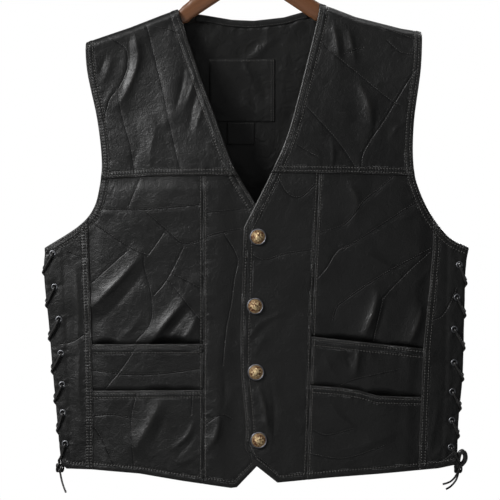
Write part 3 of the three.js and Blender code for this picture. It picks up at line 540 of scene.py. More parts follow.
HOLE_CORE = 1.2  # how near a lace hole's middle a point of the mesh still counts as in the hole
HOLE_RADIUS = 3.1
HOLE_REACH = 7  # how far out the mesh gives way round it
STITCH = {"pitch": 3.7, "length": 2.7, "radius": 0.58}
SEAM_STITCH = {"pitch": 3.1, "length": 1.9, "radius": 0.4}
SEAM_ASIDE = 1.3  # the leather is turned under at a plain seam, and the stitches show just beside it
LAMBSKIN = lambskin()
THREAD = thread("black_topstitch_thread", "#3a3937")
SEAM_THREAD = thread("black_seam_thread", "#2b2a29")
CLOTH = 1.7  # thickness of the leather with its turned edge
FINE = 1.78  # pitch of the front's mesh
COARSE = 3.0  # and of the back's
OUTLINE_PITCH = 8  # and of the outline that keeps a panel's stitches on it


def meet(upright, level, z):
    """Where an upright line crosses a level one, found from a height near it."""
    for _ in range(25):
        x = float(read(upright, z, by=1))
        z = float(read(level, x))
    return x, z


def moved(line, dx, dz):
    return [(x + dx, z + dz) for x, z in line]


def band_grid(top, bottom, left, right, columns, spread):
    """Places x, z between two level and two upright lines, in rows at the fractions given."""
    corners = [meet(left, top, top[0][1]), meet(right, top, top[-1][1])]
    corners += [meet(left, bottom, bottom[0][1]), meet(right, bottom, bottom[-1][1])]
    tl, tr, bl, br = np.array(corners)
    u = np.linspace(0, 1, columns)[None, :, None]
    v = np.asarray(spread)[:, None, None]
    top_x = tl[0] + (tr[0] - tl[0]) * u[..., 0]
    bottom_x = bl[0] + (br[0] - bl[0]) * u[..., 0]
    top_line = np.stack([top_x, read(top, top_x)], axis=-1)
    bottom_line = np.stack([bottom_x, read(bottom, bottom_x)], axis=-1)
    left_z = tl[1] + (bl[1] - tl[1]) * v[..., 0]
    right_z = tr[1] + (br[1] - tr[1]) * v[..., 0]
    left_line = np.stack([read(left, left_z, by=1), left_z], axis=-1)
    right_line = np.stack([read(right, right_z, by=1), right_z], axis=-1)
    flat = (1 - u) * (1 - v) * tl + u * (1 - v) * tr + (1 - u) * v * bl + u * v * br
    return (1 - v) * top_line + v * bottom_line + (1 - u) * left_line + u * right_line - flat


def wall_grid(levels, left, right, pitch):
    """Rows of places between the level lines given, from the top down."""
    spans = []
    for level in levels:
        ends = [meet(side, level, level[k][1]) for side, k in ((left, 0), (right, -1))]
        spans.append(ends)
    width = max(abs(b[0] - a[0]) for a, b in spans)
    columns = max(4, round(width / pitch)) + 1
    bands = []
    for i, (top, bottom) in enumerate(zip(levels[:-1], levels[1:])):
        height = max(abs(spans[i][k][1] - spans[i + 1][k][1]) for k in (0, 1))
        if i == 0 and height < 1.2 * ARCH_DROP:
            spread = 1 - np.cos(np.linspace(0, math.pi / 2, 9))  # the bend over the hanger
        else:
            spread = np.linspace(0, 1, max(2, round(height / pitch)) + 1)
        rows = band_grid(top, bottom, left, right, columns, spread)
        bands.append(rows if i == 0 else rows[1:])
    return np.concatenate(bands)


def edge_loop(rows, columns):
    """Indices round a grid: down its left side, along the bottom, up the right side and back."""
    left = [(r, 0) for r in range(rows)]
    bottom = [(rows - 1, c) for c in range(1, columns)]
    right = [(r, columns - 1) for r in range(rows - 2, -1, -1)]
    top = [(0, c) for c in range(columns - 2, 0, -1)]
    return left + bottom + right + top


def mark_points(piece, mark, values):
    """Gives a piece's points a number each, for its material to read by that name."""
    attribute = piece.data.attributes.new(mark, "FLOAT", "POINT")
    attribute.data.foreach_set("value", np.asarray(values, dtype=np.float32))


def cloth_wall(name, shell, outer, inner, marks, material, open_cells):
    """A closed wall between two grids of points, with a round turned edge and its holes cut through."""
    rows, columns = outer.shape[:2]
    loop = edge_loop(rows, columns)
    mids = []
    for r, c in loop:
        inward = (min(max(r, 1), rows - 2), min(max(c, 1), columns - 2))
        out = unit(outer[r, c] - outer[inward])
        thick = np.linalg.norm(outer[r, c] - inner[r, c])
        mids.append((outer[r, c] + inner[r, c]) / 2 + out * 0.42 * thick)
    index = np.arange(rows * columns).reshape(rows, columns)
    a, b, c, d = index[:-1, :-1], index[1:, :-1], index[1:, 1:], index[:-1, 1:]
    cells = np.stack([a, b, c, d], axis=-1)
    quads = cells[~open_cells]
    layer = rows * columns
    faces = quads.tolist() + (quads[:, ::-1] + layer).tolist()
    for r, c in np.argwhere(open_cells):
        corners = cells[r, c].tolist()
        beside = ((r, c - 1), (r + 1, c), (r, c + 1), (r - 1, c))
        for k, neighbour in enumerate(beside):
            if not open_cells[neighbour]:
                start, end = corners[k], corners[(k + 1) % 4]
                faces.append([start, end, end + layer, start + layer])
    flat_loop = [int(index[place]) for place in loop]
    for k, start in enumerate(flat_loop):
        end = flat_loop[(k + 1) % len(loop)]
        mid, next_mid = 2 * layer + k, 2 * layer + (k + 1) % len(loop)
        faces.append([end, start, mid, next_mid])
        faces.append([next_mid, mid, start + layer, end + layer])
    if shell["facing"] > 0:
        faces = [face[::-1] for face in faces]
    points = np.concatenate([outer.reshape(-1, 3), inner.reshape(-1, 3), np.array(mids)])
    used = np.zeros(len(points), dtype=bool)
    used[[i for face in faces for i in face]] = True
    places = np.cumsum(used) - 1
    faces = [[int(places[i]) for i in face] for face in faces]
    piece = mesh_piece(name, points[used], faces, [material])
    for mark, grid in marks.items():
        inside_values = grid.ravel() * (mark == "seam_off")
        values = np.concatenate([grid.ravel(), inside_values, [grid[place] for place in loop]])
        mark_points(piece, mark, values[used])
    return piece


# What the leather does at its edges: how far it rises, how far in that holds and over what width it
# fades, how far the edge rolls down, and how far in each row of topstitching lies.
TURNED = {"rise": 0.4, "flat": 9.5, "fall": 3.5, "roll": 0.7, "rows": (3.4, 10.6), "wear": 1}
ARMHOLE = {"rise": 0.4, "flat": 7.0, "fall": 3.5, "roll": 0.7, "rows": (3.2, 8.4), "wear": 1}
HEMMED = {"rise": 0.35, "flat": 6.2, "fall": 3, "roll": 0.7, "rows": (7.2,), "wear": 1}
LAPPED = {"rise": 0.45, "flat": 7.2, "fall": 3, "roll": 0.6, "rows": (2.8, 7.6), "wear": 0.8}
TUCKED = {"rise": -1.35, "flat": 3.4, "fall": 16, "roll": 0, "rows": (), "wear": 0}
BUTTED = {"rise": 0.3, "flat": 3.4, "fall": 2.4, "roll": 0.9, "rows": (3.2,), "wear": 0.5}
SEAMED = {"rise": 0, "flat": 2, "fall": 2, "roll": 0.4, "rows": (), "wear": 0.2}
BARE = {"rise": 0.2, "flat": 3, "fall": 4, "roll": 0.6, "rows": (), "wear": 0.8}
ROW_DIP = 0.55  # how far a row of topstitching draws the leather down
ROW_WIDTH = 1.7
GATHER = 0.34  # height of the gathers inside the last row
GATHER_PITCH = 5.2
EDGE_WIDTH = 1.5  # how far in from an edge the leather rolls down
SEAM_BOX = 24  # nothing of a plain seam reaches further than this
SEAM_VALLEY = 0.34
SEAM_STEP = 0.08  # one side of a plain seam stands this much higher
SEAM_PUCKER = 0.26
SEAM_PUCKER_PITCH = 6.5
LUMPS = ((38, 0.8, 3), (17, 0.32, 8), (9, 0.12, 21))  # pitch, height and seed of the leather's hills


def edge_rise(edges, x, z):
    """What the edges add to the leather's height, how rubbed they are, and the puckers of their rows."""
    rise, wear = np.zeros_like(x), np.zeros_like(x)
    row_near, row_along = np.zeros_like(x), np.zeros_like(x)
    for number, (line, kind) in enumerate(edges):
        away, along, _, _ = to_line(line, x, z)
        rise += kind["rise"] * (1 - soft_step(away, kind["flat"], kind["flat"] + kind["fall"]))
        rise -= kind["roll"] * np.exp(-((away / EDGE_WIDTH) ** 2))
        for row in kind["rows"]:
            rise -= kind.get("dip", ROW_DIP) * np.exp(-(((away - row) / ROW_WIDTH) ** 2))
        if kind["rows"]:
            gather = np.exp(-(((away - kind["rows"][-1] - 2) / 6) ** 2))
            rise += GATHER * gather * uneven(along, GATHER_PITCH, 40 + number)
            beside = np.min([np.abs(away - row) for row in kind["rows"]], axis=0)
            near = 1 - soft_step(beside, 0.9, 2.6)
            row_along = np.where(near > row_near, along, row_along)
            row_near = np.maximum(near, row_near)
        wear = np.maximum(wear, kind["wear"] * np.exp(-((away / 1.7) ** 2)))
    return rise, {"wear": wear, "row_near": row_near, "row_along": row_along}


def patch_rise(seams, x, z):
    """What the plain seams between offcuts do: a valley, one side a little higher, and fine puckers.

    It also says how far to the side of the nearest seam each place is, and how near it is to that seam.
    """
    rise = np.zeros_like(x)
    seam_near, seam_off = np.zeros_like(x), np.full_like(x, 9.0)
    for number, line in enumerate(seams):
        near = near_line(line, x, z, SEAM_BOX)
        if not near.any():
            continue
        away, along, side, length = to_line(smooth_path(line, 5), x[near], z[near])
        ends = soft_step(along, -1, 6) * soft_step(length - along, -1, 6)
        valley = -SEAM_VALLEY * np.exp(-((away / 2.1) ** 2))
        step = SEAM_STEP * np.exp(-away / 7) * (side > 0)
        puckers = SEAM_PUCKER * uneven(along, SEAM_PUCKER_PITCH, 90 + number)
        puckers = puckers * np.exp(-((away / 6) ** 2))
        rise[near] += ends * (valley + step + puckers)
        close = ends * (1 - soft_step(away, 2.6, 4.4))
        nearer = close > seam_near[near]
        seam_off[near] = np.where(nearer, away * side, seam_off[near])
        seam_near[near] = np.where(nearer, close, seam_near[near])
    return rise, {"seam_near": seam_near, "seam_off": seam_off}


def leather_rise(panel, x, z):
    """Height of a panel's leather above its shell, and what its finish needs to know of each place."""
    hills = sum(height * lumps(x, z, pitch, seed) for pitch, height, seed in LUMPS)
    creases = crease_rise(panel["creases"], x, z)
    settled = soft_step(read(SHOULDER, x) - z, 0, 24)
    rise, marks = edge_rise(panel["edges"], x, z)
    valleys, seam_marks = patch_rise(panel["seams"], x, z)
    rise = rise + settled * (hills + creases) + valleys
    marks |= seam_marks
    marks["wear"] = np.maximum(marks["wear"], 0.8 * soft_step(creases, 0.8, 2.4))
    for place_x, place_z, reach in panel.get("pinned", ()):
        rise = rise * soft_step(np.hypot(x - place_x, z - place_z), reach, 2.4 * reach)
    if "more" in panel:
        rise = rise + panel["more"](x, z)
    return rise, marks


def punched(grid, holes):
    """The grid drawn back round each hole, and which of its cells are left open."""
    open_cells = np.zeros((grid.shape[0] - 1, grid.shape[1] - 1), dtype=bool)
    stretch = (HOLE_REACH - HOLE_RADIUS) / (HOLE_REACH - HOLE_CORE)
    for hole in holes:
        from_hole = grid - hole
        away = np.hypot(from_hole[..., 0], from_hole[..., 1])
        ring = (away > HOLE_CORE) & (away < HOLE_REACH)
        further = HOLE_RADIUS + (away - HOLE_CORE) * stretch
        grid[ring] = hole + from_hole[ring] * (further / np.maximum(away, 1e-6))[ring][:, None]
        core = away <= HOLE_CORE
        touched = core[:-1, :-1] | core[1:, :-1] | core[1:, 1:] | core[:-1, 1:]
        middles = (grid[:-1, :-1] + grid[1:, :-1] + grid[1:, 1:] + grid[:-1, 1:]) / 4 - hole
        open_cells |= touched | (np.hypot(middles[..., 0], middles[..., 1]) < HOLE_RADIUS / 2)
    return grid, open_cells


def turned_round(faces):
    """The same faces, facing the other way."""
    return [face[:1] + face[:0:-1] for face in faces]


def joined(shapes):
    """Points and faces of several shapes in one."""
    points, faces = [], []
    for more_points, more_faces in shapes:
        faces += [tuple(i + len(points) for i in face) for face in more_faces]
        points += list(more_points)
    return points, faces


def resampled(line, pitch):
    """Places along a line at an even pitch, and its direction at each."""
    line = np.asarray(line, dtype=float)
    lengths = lengths_along(line)
    count = max(2, int(lengths[-1] / pitch))
    at = (np.arange(count) + 0.5) * lengths[-1] / count
    places, ahead, behind = (
        np.stack([np.interp(at + step, lengths, line[:, k]) for k in (0, 1)], axis=-1)
        for step in (0, 0.6, -0.6)
    )
    return places, unit(ahead - behind)


def inside(outline, x, z):
    """Which places lie inside a closed outline."""
    within = np.zeros(x.shape, dtype=bool)
    for (x1, z1), (x2, z2) in zip(outline, np.roll(outline, -1, axis=0)):
        if z1 != z2:
            within ^= ((z1 > z) != (z2 > z)) & (x < (x2 - x1) * (z - z1) / (z2 - z1) + x1)
    return within


def stitch_row(panel, line, size, outline, keep_off=(), inner_face=0):
    """Points and faces of a row of stitches on a panel: short spindles that dip in at both ends."""
    places, way = resampled(line, size["pitch"])
    keep = inside(outline, places[:, 0], places[:, 1])
    for other, distance in keep_off:
        keep &= to_line(other, places[:, 0], places[:, 1])[0] > distance
    places, way = places[keep], way[keep]
    if not len(places):
        return np.zeros((0, 3)), []
    rings = []
    for along, swell, lift in ((-1, 0.4, -0.15), (-0.55, 1, 0.16), (0.55, 1, 0.16), (1, 0.4, -0.15)):
        x, z = (places + way * along * size["length"] / 2).T
        rise, _ = leather_rise(panel, x, z)
        base, normals = shell_surface(panel["shell"], x, z)
        if inner_face:
            normals, rise = -normals, inner_face - rise
        centre = base + normals * (rise + lift)[:, None]
        forward = np.stack([way[:, 0], np.zeros(len(way)), way[:, 1]], axis=-1)
        forward = unit(forward - normals * (forward * normals).sum(axis=1)[:, None])
        sideways = np.cross(forward, normals)
        radius = size["radius"] * swell
        rings.append([centre + radius * d for d in (sideways, normals, -sideways, -normals)])
    points = np.array(rings).transpose(2, 0, 1, 3).reshape(-1, 3)  # by stitch, ring and corner
    spindle = turned_round(ring_faces(4, 4)) + [(0, 1, 2, 3), (15, 14, 13, 12)]
    starts = range(0, len(points), 16)
    return points, [tuple(start + i for i in face) for start in starts for face in spindle]


def offset(line, distance):
    """A line moved to its left as seen from the front, or to its right if the distance is below 0."""
    line = np.asarray(line, dtype=float)
    way = unit(np.gradient(line, axis=0))
    moved_line = line + distance * np.stack([-way[:, 1], way[:, 0]], axis=-1)
    away = to_line(line, moved_line[:, 0], moved_line[:, 1])[0]
    return moved_line[away > abs(distance) - 0.25]


def sew(name, panel, outline, size):
    """All the stitching of one panel as two pieces: topstitching in from its edges, and plain seams."""
    depth = panel["depth"] + panel["thickness"] if "depth" in panel else 0
    for suffix, material, rows in (
        ("topstitching", THREAD, topstitch_rows(panel, size)),
        ("seam_stitching", SEAM_THREAD, plain_rows(panel)),
    ):
        points, faces = joined(
            stitch_row(panel, line, row_size, outline, keep_off, depth) for line, row_size, keep_off in rows
        )
        if points:
            finish_piece(mesh_piece(f"{name}_{suffix}", points, faces, [material]))


def topstitch_rows(panel, size):
    """The lines of the topstitching: each row is offered to both sides, and the outline keeps one."""
    rows = []
    for i, (line, kind) in enumerate(panel["edges"]):
        dense = np.vstack([line[0], resampled(line, 2)[0], line[-1]])
        keep_off = [
            (other, other_kind["rows"][0] - 0.6)
            for k, (other, other_kind) in enumerate(panel["edges"])
            if k != i and other_kind["rows"]
        ]
        rows += [(offset(dense, side * row), size, keep_off) for row in kind["rows"] for side in (-1, 1)]
    return rows


def plain_rows(panel):
    keep_off = [(line, kind["rows"][-1] + 1) for line, kind in panel["edges"] if kind["rows"]]
    return [(offset(smooth_path(line, 6), SEAM_ASIDE), SEAM_STITCH, keep_off) for line in panel["seams"]]


def leather_panel(
    name, node, panel, levels, left, right, pitch, kind="leather", slot="leather", size=STITCH
):
    """One cut on its shell, with its creases, seams and edges, and all its stitching."""
    grid, open_cells = punched(wall_grid(levels, left, right, pitch), panel.get("holes", ()))
    x, z = grid[..., 0], grid[..., 1]
    rise, marks = leather_rise(panel, x, z)
    base, normals = shell_surface(panel["shell"], x, z)
    rise = rise - panel.get("depth", 0)
    outer = base + normals * rise[..., None]
    inner = base + normals * (rise - panel.get("thickness", CLOTH))[..., None]
    material = panel.get("material", LAMBSKIN)
    piece = cloth_wall(f"{name}_{kind}", panel["shell"], outer, inner, marks, material, open_cells)
    finish_piece(piece, node)
    coarse = wall_grid(levels, left, right, OUTLINE_PITCH)
    outline = np.concatenate([coarse[0], coarse[1:-1, -1], coarse[-1][::-1], coarse[1:-1, 0][::-1]])
    sew(name, panel, outline, size)


# Fronts
# Each front is cut as a yoke, a centre piece, a pocket panel, a side panel with the lace holes, and two
# pocket pieces one below the other. The yoke and the side panel are lapped over the pieces beside
# them and stitched twice; the right front closes over the left with four snaps.
LEFT_EYELETS = [
    (-255.5, -443.5), (-253, -486.4), (-247.6, -528), (-244.9, -571.6), (-243.5, -611.8),
    (-242.5, -647.7), (-239.5, -687.4),
]
LEFT = {
    "armhole": LEFT_ARMHOLE, "side": LEFT_SIDE, "eyelets": LEFT_EYELETS,
    "neck": [
        (-96, -129.3), (-89.6, -148.5), (-65.3, -220.2), (-48.6, -266.2), (-24.3, -331.5),
        (4.6, -380.8), (19.6, -411),
    ],
    "edge": [(19.6, -411), (19.6, -691)],
    "hem": [
        (-244.5, -712.5), (-238, -718.6), (-206, -719.4), (-144, -724.2), (-92, -732.8),
        (-27, -742.3), (-19.5, -741.4), (5.8, -715), (14, -705), (19.6, -691),
    ],
    "yoke_seam": [(-260, -350), (-192, -347.8), (-130, -344.3), (60, -343)],
    "inner": [(-62.5, -300), (-62, -503), (-62.7, -800)],
    "outer": [(-211, -300), (-210.2, -411), (-206.1, -529), (-203.6, -634), (-203.4, -800)],
    "upper": [(-230, -560.2), (-40, -559.3)],
    "lower": [(-230, -619.8), (-40, -618)],
    "seams": {
        "yoke": [
            [(-137, -145), (-124, -196), (-113, -242), (-106, -276), (-95, -325), (-91, -343)],
            [(-188, -165), (-166, -178), (-160, -188), (-161, -209), (-172, -234)],
            [(-172, -234), (-170, -253), (-165, -274), (-156, -305), (-150, -345)],
            [(-124, -154), (-108, -157), (-84, -165)],
            [(-173, -234), (-183, -248), (-190, -276)],
        ],
        "pocket_panel": [
            [(-198, -387), (-138, -388), (-62, -381)],
            [(-143, -346), (-159, -387)],
            [(-138, -389), (-112, -412), (-88, -431), (-62, -427)],
            [(-110, -412), (-120, -428), (-135, -448)],
            [(-209, -402), (-154, -438), (-133, -446)],
            [(-157, -438), (-206, -482)],
            [(-139, -446), (-138, -463), (-130, -491), (-128, -523), (-133, -538), (-152, -559)],
            [(-86, -432), (-109, -477), (-130, -502)],
            [(-108, -477), (-83, -509), (-62, -534)],
            [(-101, -470), (-62, -491)],
        ],
        "centre": [
            [(-62, -392), (-30, -389), (2, -385)],
            [(-62, -424), (-39, -417), (-10, -412)],
            [(-37, -417), (-19, -449), (-23, -477), (-27, -508), (-33, -539), (-38, -588)],
            [(-62, -664), (-40, -650), (-24, -656)],
        ],
        "pocket_upper": [
            [(-146, -560), (-166, -590), (-190, -619)],
            [(-206, -593), (-170, -598), (-137, -599), (-100, -596), (-62, -590)],
        ],
        "pocket_lower": [
            [(-147, -619), (-155, -660), (-151, -724)],
            [(-204, -664), (-192, -684), (-174, -721)],
            [(-76, -622), (-78, -652)],
            [(-204, -652), (-176, -650), (-153, -656)],
        ],
        "side_panel": [
            [(-238, -440), (-226, -446), (-211, -448)],
            [(-248, -560), (-228, -556), (-206, -540)],
        ],
    },
}
RIGHT_EYELETS = [
    (266, -458.2), (263, -499.8), (259.5, -540.8), (259.3, -583.4), (257, -620.7),
    (256.6, -657.5), (255.4, -692.1),
]
RIGHT = {
    "armhole": RIGHT_ARMHOLE, "side": RIGHT_SIDE, "eyelets": RIGHT_EYELETS,
    "neck": [
        (87.6, -121.6), (83, -148.5), (62.1, -233), (45.8, -291.8), (26.1, -337.9), (4.6, -381.4),
        (-10.4, -411),
    ],
    "edge": [
        (-10.4, -411), (-12.4, -481), (-14.6, -543), (-14.2, -595), (-10.9, -632), (-8, -667),
        (-9, -691.2),
    ],
    "hem": [
        (-9, -691.2), (0.9, -710.4), (32.5, -735.4), (100, -729.1), (164, -724.5), (239.4, -718.1),
        (262.4, -713.5),
    ],
    "yoke_seam": [(-60, -338.6), (37, -340.1), (130, -341.2), (260, -345)],
    "inner": [(88, -300), (78.3, -503), (72, -682), (67, -800)],
    "outer": [
        (233, -300), (232, -437), (226, -503), (219.5, -567), (214.5, -686), (213, -800),
    ],
    "upper": [(60, -548), (240, -568.2)],
    "lower": [(60, -611), (114, -615.2), (137, -619), (161, -625.9), (240, -628.5)],
    "seams": {
        "yoke": [
            [(92, -176), (103, -187), (138, -216), (176, -247), (190, -254)],
            [(216, -204), (204, -216), (169, -273), (153, -296), (141, -318), (140, -341)],
            [(66, -252), (87, -275), (112, -304), (137, -341)],
            [(118, -189), (132, -183), (145, -180)],
            [(50, -300), (68, -312), (84, -321)],
            [(160, -152), (186, -162), (216, -172)],
            [(172, -170), (190, -186), (216, -190)],
        ],
        "pocket_panel": [
            [(84, -418), (119, -406), (144, -376), (162, -362), (184, -342)],
            [(114, -438), (125, -434), (189, -392), (214, -376)],
            [(124, -434), (109, -440), (94, -463), (80, -478)],
            [(104, -530), (108, -514), (118, -504), (166, -472), (231, -437)],
            [(229, -440), (204, -462), (169, -498), (165, -508), (154, -556)],
        ],
        "centre": [
            [(-12, -436), (13, -452), (44, -444), (82, -438)],
            [(30, -340), (44, -366), (62, -372), (84, -352)],
            [(-8, -694), (22, -716), (34, -735)],
        ],
        "pocket_upper": [[(108, -616), (128, -606), (153, -600), (190, -592)]],
        "pocket_lower": [[(74, -668), (96, -676), (130, -668)], [(74, -700), (118, -706), (170, -690)]],
        "side_panel": [[(262, -486), (246, -520), (228, -530)], [(262, -694), (244, -708), (230, -716)]],
    },
}
TUCK = 3.2  # how far a lower piece of leather runs on under a lapped one
OVERLAP_STEP = 2.3  # the left front lies this much deeper under the right one
OVERLAP = (-46, -17)  # x between which it steps back to that
PATCH_PROUD = 0.6  # how far a pocket piece stands out from its panel
MOUTH_BEND = 4.5  # how far above a shut mouth the leather behind it starts to bend back
MOUTH_BULGE = 1.5
BULGE_REACH = 16
UNDERLAP = 12  # how far the upper pocket piece runs on behind the lower one
EYELET_PIN = 5  # the leather lies flat this far round the middle of an eyelet
SNAP_PIN = 10.5  # and of a snap
MOUTHS = {  # how a pocket mouth gapes: columns x of its middle, half width, strength
    "left_upper": [(-186, 12, 0.55), (-105, 21, 1.0), (-72, 9, 0.3)],
    "left_lower": [(-118, 18, 0.5), (-168, 26, 0.2), (-84, 12, 0.3)],
    "right_upper": [(136, 30, 0.62), (196, 20, 0.4), (98, 18, 0.25)],
    "right_lower": [(168, 17, 1.0), (198, 16, 0.5), (96, 14, 0.35), (130, 14, 0.3)],
}
SNAPS = [(7.6, -422.4), (4, -510.7), (5, -595.2), (8.6, -681.7)]
FACINGS = {  # the edge of the facing behind the lace holes shows through the leather
    "left": [(-243, -440), (-241, -500), (-238, -580), (-236, -640), (-234, -708)],
    "right": [(252, -440), (250, -520), (249, -600), (246, -650), (244, -706)],
}


def gape(mouth, x):
    """How far a pocket mouth stands open at each place, from 0 to about 1."""
    return sum(
        strength * np.exp(-(((x - middle) / width) ** 4)) for middle, width, strength in MOUTHS[mouth]
    )


def bent_back(above, open_here, sink, more_sink, more_bend):
    """How far the leather behind a pocket mouth bends back on its way down to it, more where it gapes."""
    bend = MOUTH_BEND + more_bend * open_here
    return -(sink + more_sink * open_here) * soft_step(-above, -bend, 1.5)


def mouth_bulge(mouth, line, x, z):
    """A pocket piece stands proud of the panel, and bulges below its mouth where that gapes."""
    below = read(line, x) - z
    return PATCH_PROUD + MOUTH_BULGE * gape(mouth, x) * np.exp(-((below / BULGE_REACH) ** 2))


def panel_dip(mouth, line, lower_line):
    """The pocket panel bends back above its mouth and runs on behind the pocket pieces."""
    def more(x, z):
        above = z - read(line, x)
        below_lower = read(lower_line, x) - z
        near = bent_back(above, gape(mouth, x), 2.7, 6.2, 8)
        settled = soft_step(-above, 12, 34)
        deep = -(6.6 + 3.4 * soft_step(below_lower, -30, 0))
        return near * (1 - settled) + deep * settled
    return more


def upper_lift(mouth, line, lower_mouth, lower_line):
    """The upper pocket piece tucks in behind the lower one."""
    def more(x, z):
        tuck = bent_back(z - read(lower_line, x), gape(lower_mouth, x), 2.5, 4.2, 7)
        return mouth_bulge(mouth, line, x, z) + tuck
    return more


def lap_step(x, z):
    return -OVERLAP_STEP * soft_step(x, *OVERLAP)


def eyelet_dimples(places, facing_line, sign):
    """Small puckers pressed round the lace holes, and the step of the facing behind them."""
    def more(x, z):
        away, _, side, _ = to_line(facing_line, x, z)
        outward = -side if sign < 0 else side
        step = 0.55 * soft_step(away * outward, -3, 2) - 0.4 * np.exp(-((away / 2.4) ** 2))
        for number, (hole_x, hole_z) in enumerate(places):
            distance = np.hypot(x - hole_x, z - hole_z)
            turn = np.arctan2(z - hole_z, x - hole_x)
            puckers = 0.3 * np.cos(5 * turn + 2.1 * number) * np.exp(-(((distance - 8) / 4) ** 2))
            step = step + puckers - 0.5 * np.exp(-((distance / 5.2) ** 2))
        return step
    return more


def front(name, sign, lines):
    """All the leather of one front, cut to its lines and sewn."""
    def make(piece, edges, levels, outer, inner, **extra):
        made = {"shell": FRONT, "creases": FRONT_CREASES, "edges": edges, "seams": lines["seams"][piece]}
        sides = (outer, inner) if sign < 0 else (inner, outer)
        leather_panel(f"{name}_{piece}", f"{name}_{piece}", {**made, **extra}, levels, *sides, FINE)

    armhole, neck, side = (smooth_path(lines[k], 6) for k in ("armhole", "neck", "side"))
    yoke_seam, hem, inner, outer, upper, lower = (
        np.array(lines[k], float) for k in ("yoke_seam", "hem", "inner", "outer", "upper", "lower")
    )
    front_edge = np.vstack([neck, smooth_path(lines["edge"], 4)[1:]])
    yoke_edges = [(armhole, ARMHOLE), (neck, TURNED), (yoke_seam, LAPPED), (SHOULDER, SEAMED)]
    make("yoke", yoke_edges, [SHOULDER, moved(SHOULDER, 0, -ARCH_DROP), yoke_seam], armhole, neck)

    under_yoke = moved(yoke_seam, 0, TUCK)
    centre_edges = [(front_edge, TURNED), (yoke_seam, TUCKED), (inner, BUTTED), (hem, HEMMED)]
    at_snaps = {"more": lap_step} if sign < 0 else {"pinned": [(x, z, SNAP_PIN) for x, z in SNAPS]}
    make("centre", centre_edges, [under_yoke, hem], inner, front_edge, **at_snaps)

    underarm = np.array([p for p in armhole if p[1] < -330])
    join = meet(outer, underarm, -400)
    outer_part = np.array([join] + [p for p in outer if p[1] < join[1] - 1])
    outer_side = np.vstack([[p for p in armhole if p[1] > join[1] + 1], outer_part])
    under_side = outer_side + np.outer(outer_side[:, 1] < join[1] - 8, (sign * TUCK, 0))
    armhole_part = np.array([p for p in armhole if p[1] > join[1] - 12])
    make(
        "pocket_panel",
        [(armhole_part, ARMHOLE), (yoke_seam, TUCKED), (inner, BUTTED), (outer_part, TUCKED)],
        [under_yoke, upper, moved(hem, 0, 5)], under_side, inner,
        more=panel_dip(name + "_upper", upper, lower),
    )
    make(
        "pocket_upper", [(upper, TURNED), (inner, BUTTED), (outer_part, TUCKED)],
        [upper, lower, moved(lower, 0, -UNDERLAP)], under_side, inner,
        more=upper_lift(name + "_upper", upper, name + "_lower", lower),
    )
    make(
        "pocket_lower", [(lower, ARMHOLE), (inner, BUTTED), (outer_part, TUCKED), (hem, HEMMED)],
        [lower, hem], under_side, inner,
        more=lambda x, z: mouth_bulge(name + "_lower", lower, x, z),
    )
    side_top = np.array([p for p in underarm if abs(p[0]) > abs(join[0]) - 6 and p[1] < -370])
    eyelets = lines["eyelets"]
    make(
        "side_panel", [(side_top, ARMHOLE), (side, BARE), (outer_part, LAPPED), (hem, HEMMED)],
        [side_top, hem], side, outer_part, more=eyelet_dimples(eyelets, FACINGS[name], sign),
        holes=eyelets, pinned=[(x, z, EYELET_PIN) for x, z in eyelets],
    )


front("left", -1, LEFT)
front("right", 1, RIGHT)


# Back
# One panel of the same pieced leather, cut with a higher, rounder neck and a level hem. Its edges are
# turned in and stitched, and its sides have the same lace holes as the fronts.
BACK_NECK = [
    (-96, -129.3), (-88, -135.3), (-65.3, -136.8), (-25.6, -143.4), (2, -144.6), (41, -140.3),
    (62.1, -134.4), (79, -130.5), (87.6, -121.6),
]
BACK_HEM = [(-300, -708), (300, -708)]
BACK_ARMHOLE_OUT = 1.6  # it shows this far outside the fronts at the underarms
BACK_SEAMS = [
    [(-200, -300), (-120, -296), (-40, -308), (40, -300), (120, -310), (206, -304)],
    [(-122, -142), (-112, -200), (-96, -297)],
    [(10, -146), (-4, -220), (0, -304)],
    [(126, -140), (118, -210), (96, -306)],
    [(-112, -200), (-40, -232), (-4, -222)],
    [(118, -212), (180, -240), (212, -236)],
    [(-150, -298), (-170, -360), (-166, -440)],
    [(-60, -305), (-40, -380), (-70, -470)],
    [(60, -303), (84, -390), (70, -480)],
    [(160, -307), (176, -380), (168, -450)],
    [(-265, -470), (-166, -440), (-70, -470), (70, -480), (168, -450), (272, -480)],
    [(-120, -456), (-132, -540), (-120, -620)],
    [(10, -476), (0, -560), (20, -640)],
    [(130, -462), (146, -550), (132, -630)],
    [(-262, -560), (-180, -556), (-132, -540)],
    [(146, -550), (210, -552), (270, -566)],
    [(-256, -630), (-120, -620), (20, -640), (132, -630), (268, -640)],
    [(-60, -630), (-72, -708)],
    [(76, -635), (84, -708)],
    [(-190, -625), (-196, -708)],
    [(200, -634), (206, -708)],
]


def back_side(armhole, side):
    """The back's edge on one side, down the armhole and on down to the hem."""
    armhole = smooth_path(armhole, 6)
    out = BACK_ARMHOLE_OUT * soft_step(-armhole[:, 1], 330, 400)
    armhole[:, 0] += np.sign(armhole[:, 0]) * out
    return armhole, smooth_path(side, 4)


def both_sides(x, z):
    """The puckers round the lace holes of both sides."""
    left = eyelet_dimples(LEFT_EYELETS, FACINGS["left"], -1)(x, z)
    right = eyelet_dimples(RIGHT_EYELETS, FACINGS["right"], 1)(x, z)
    return np.where(x < 0, left, right)


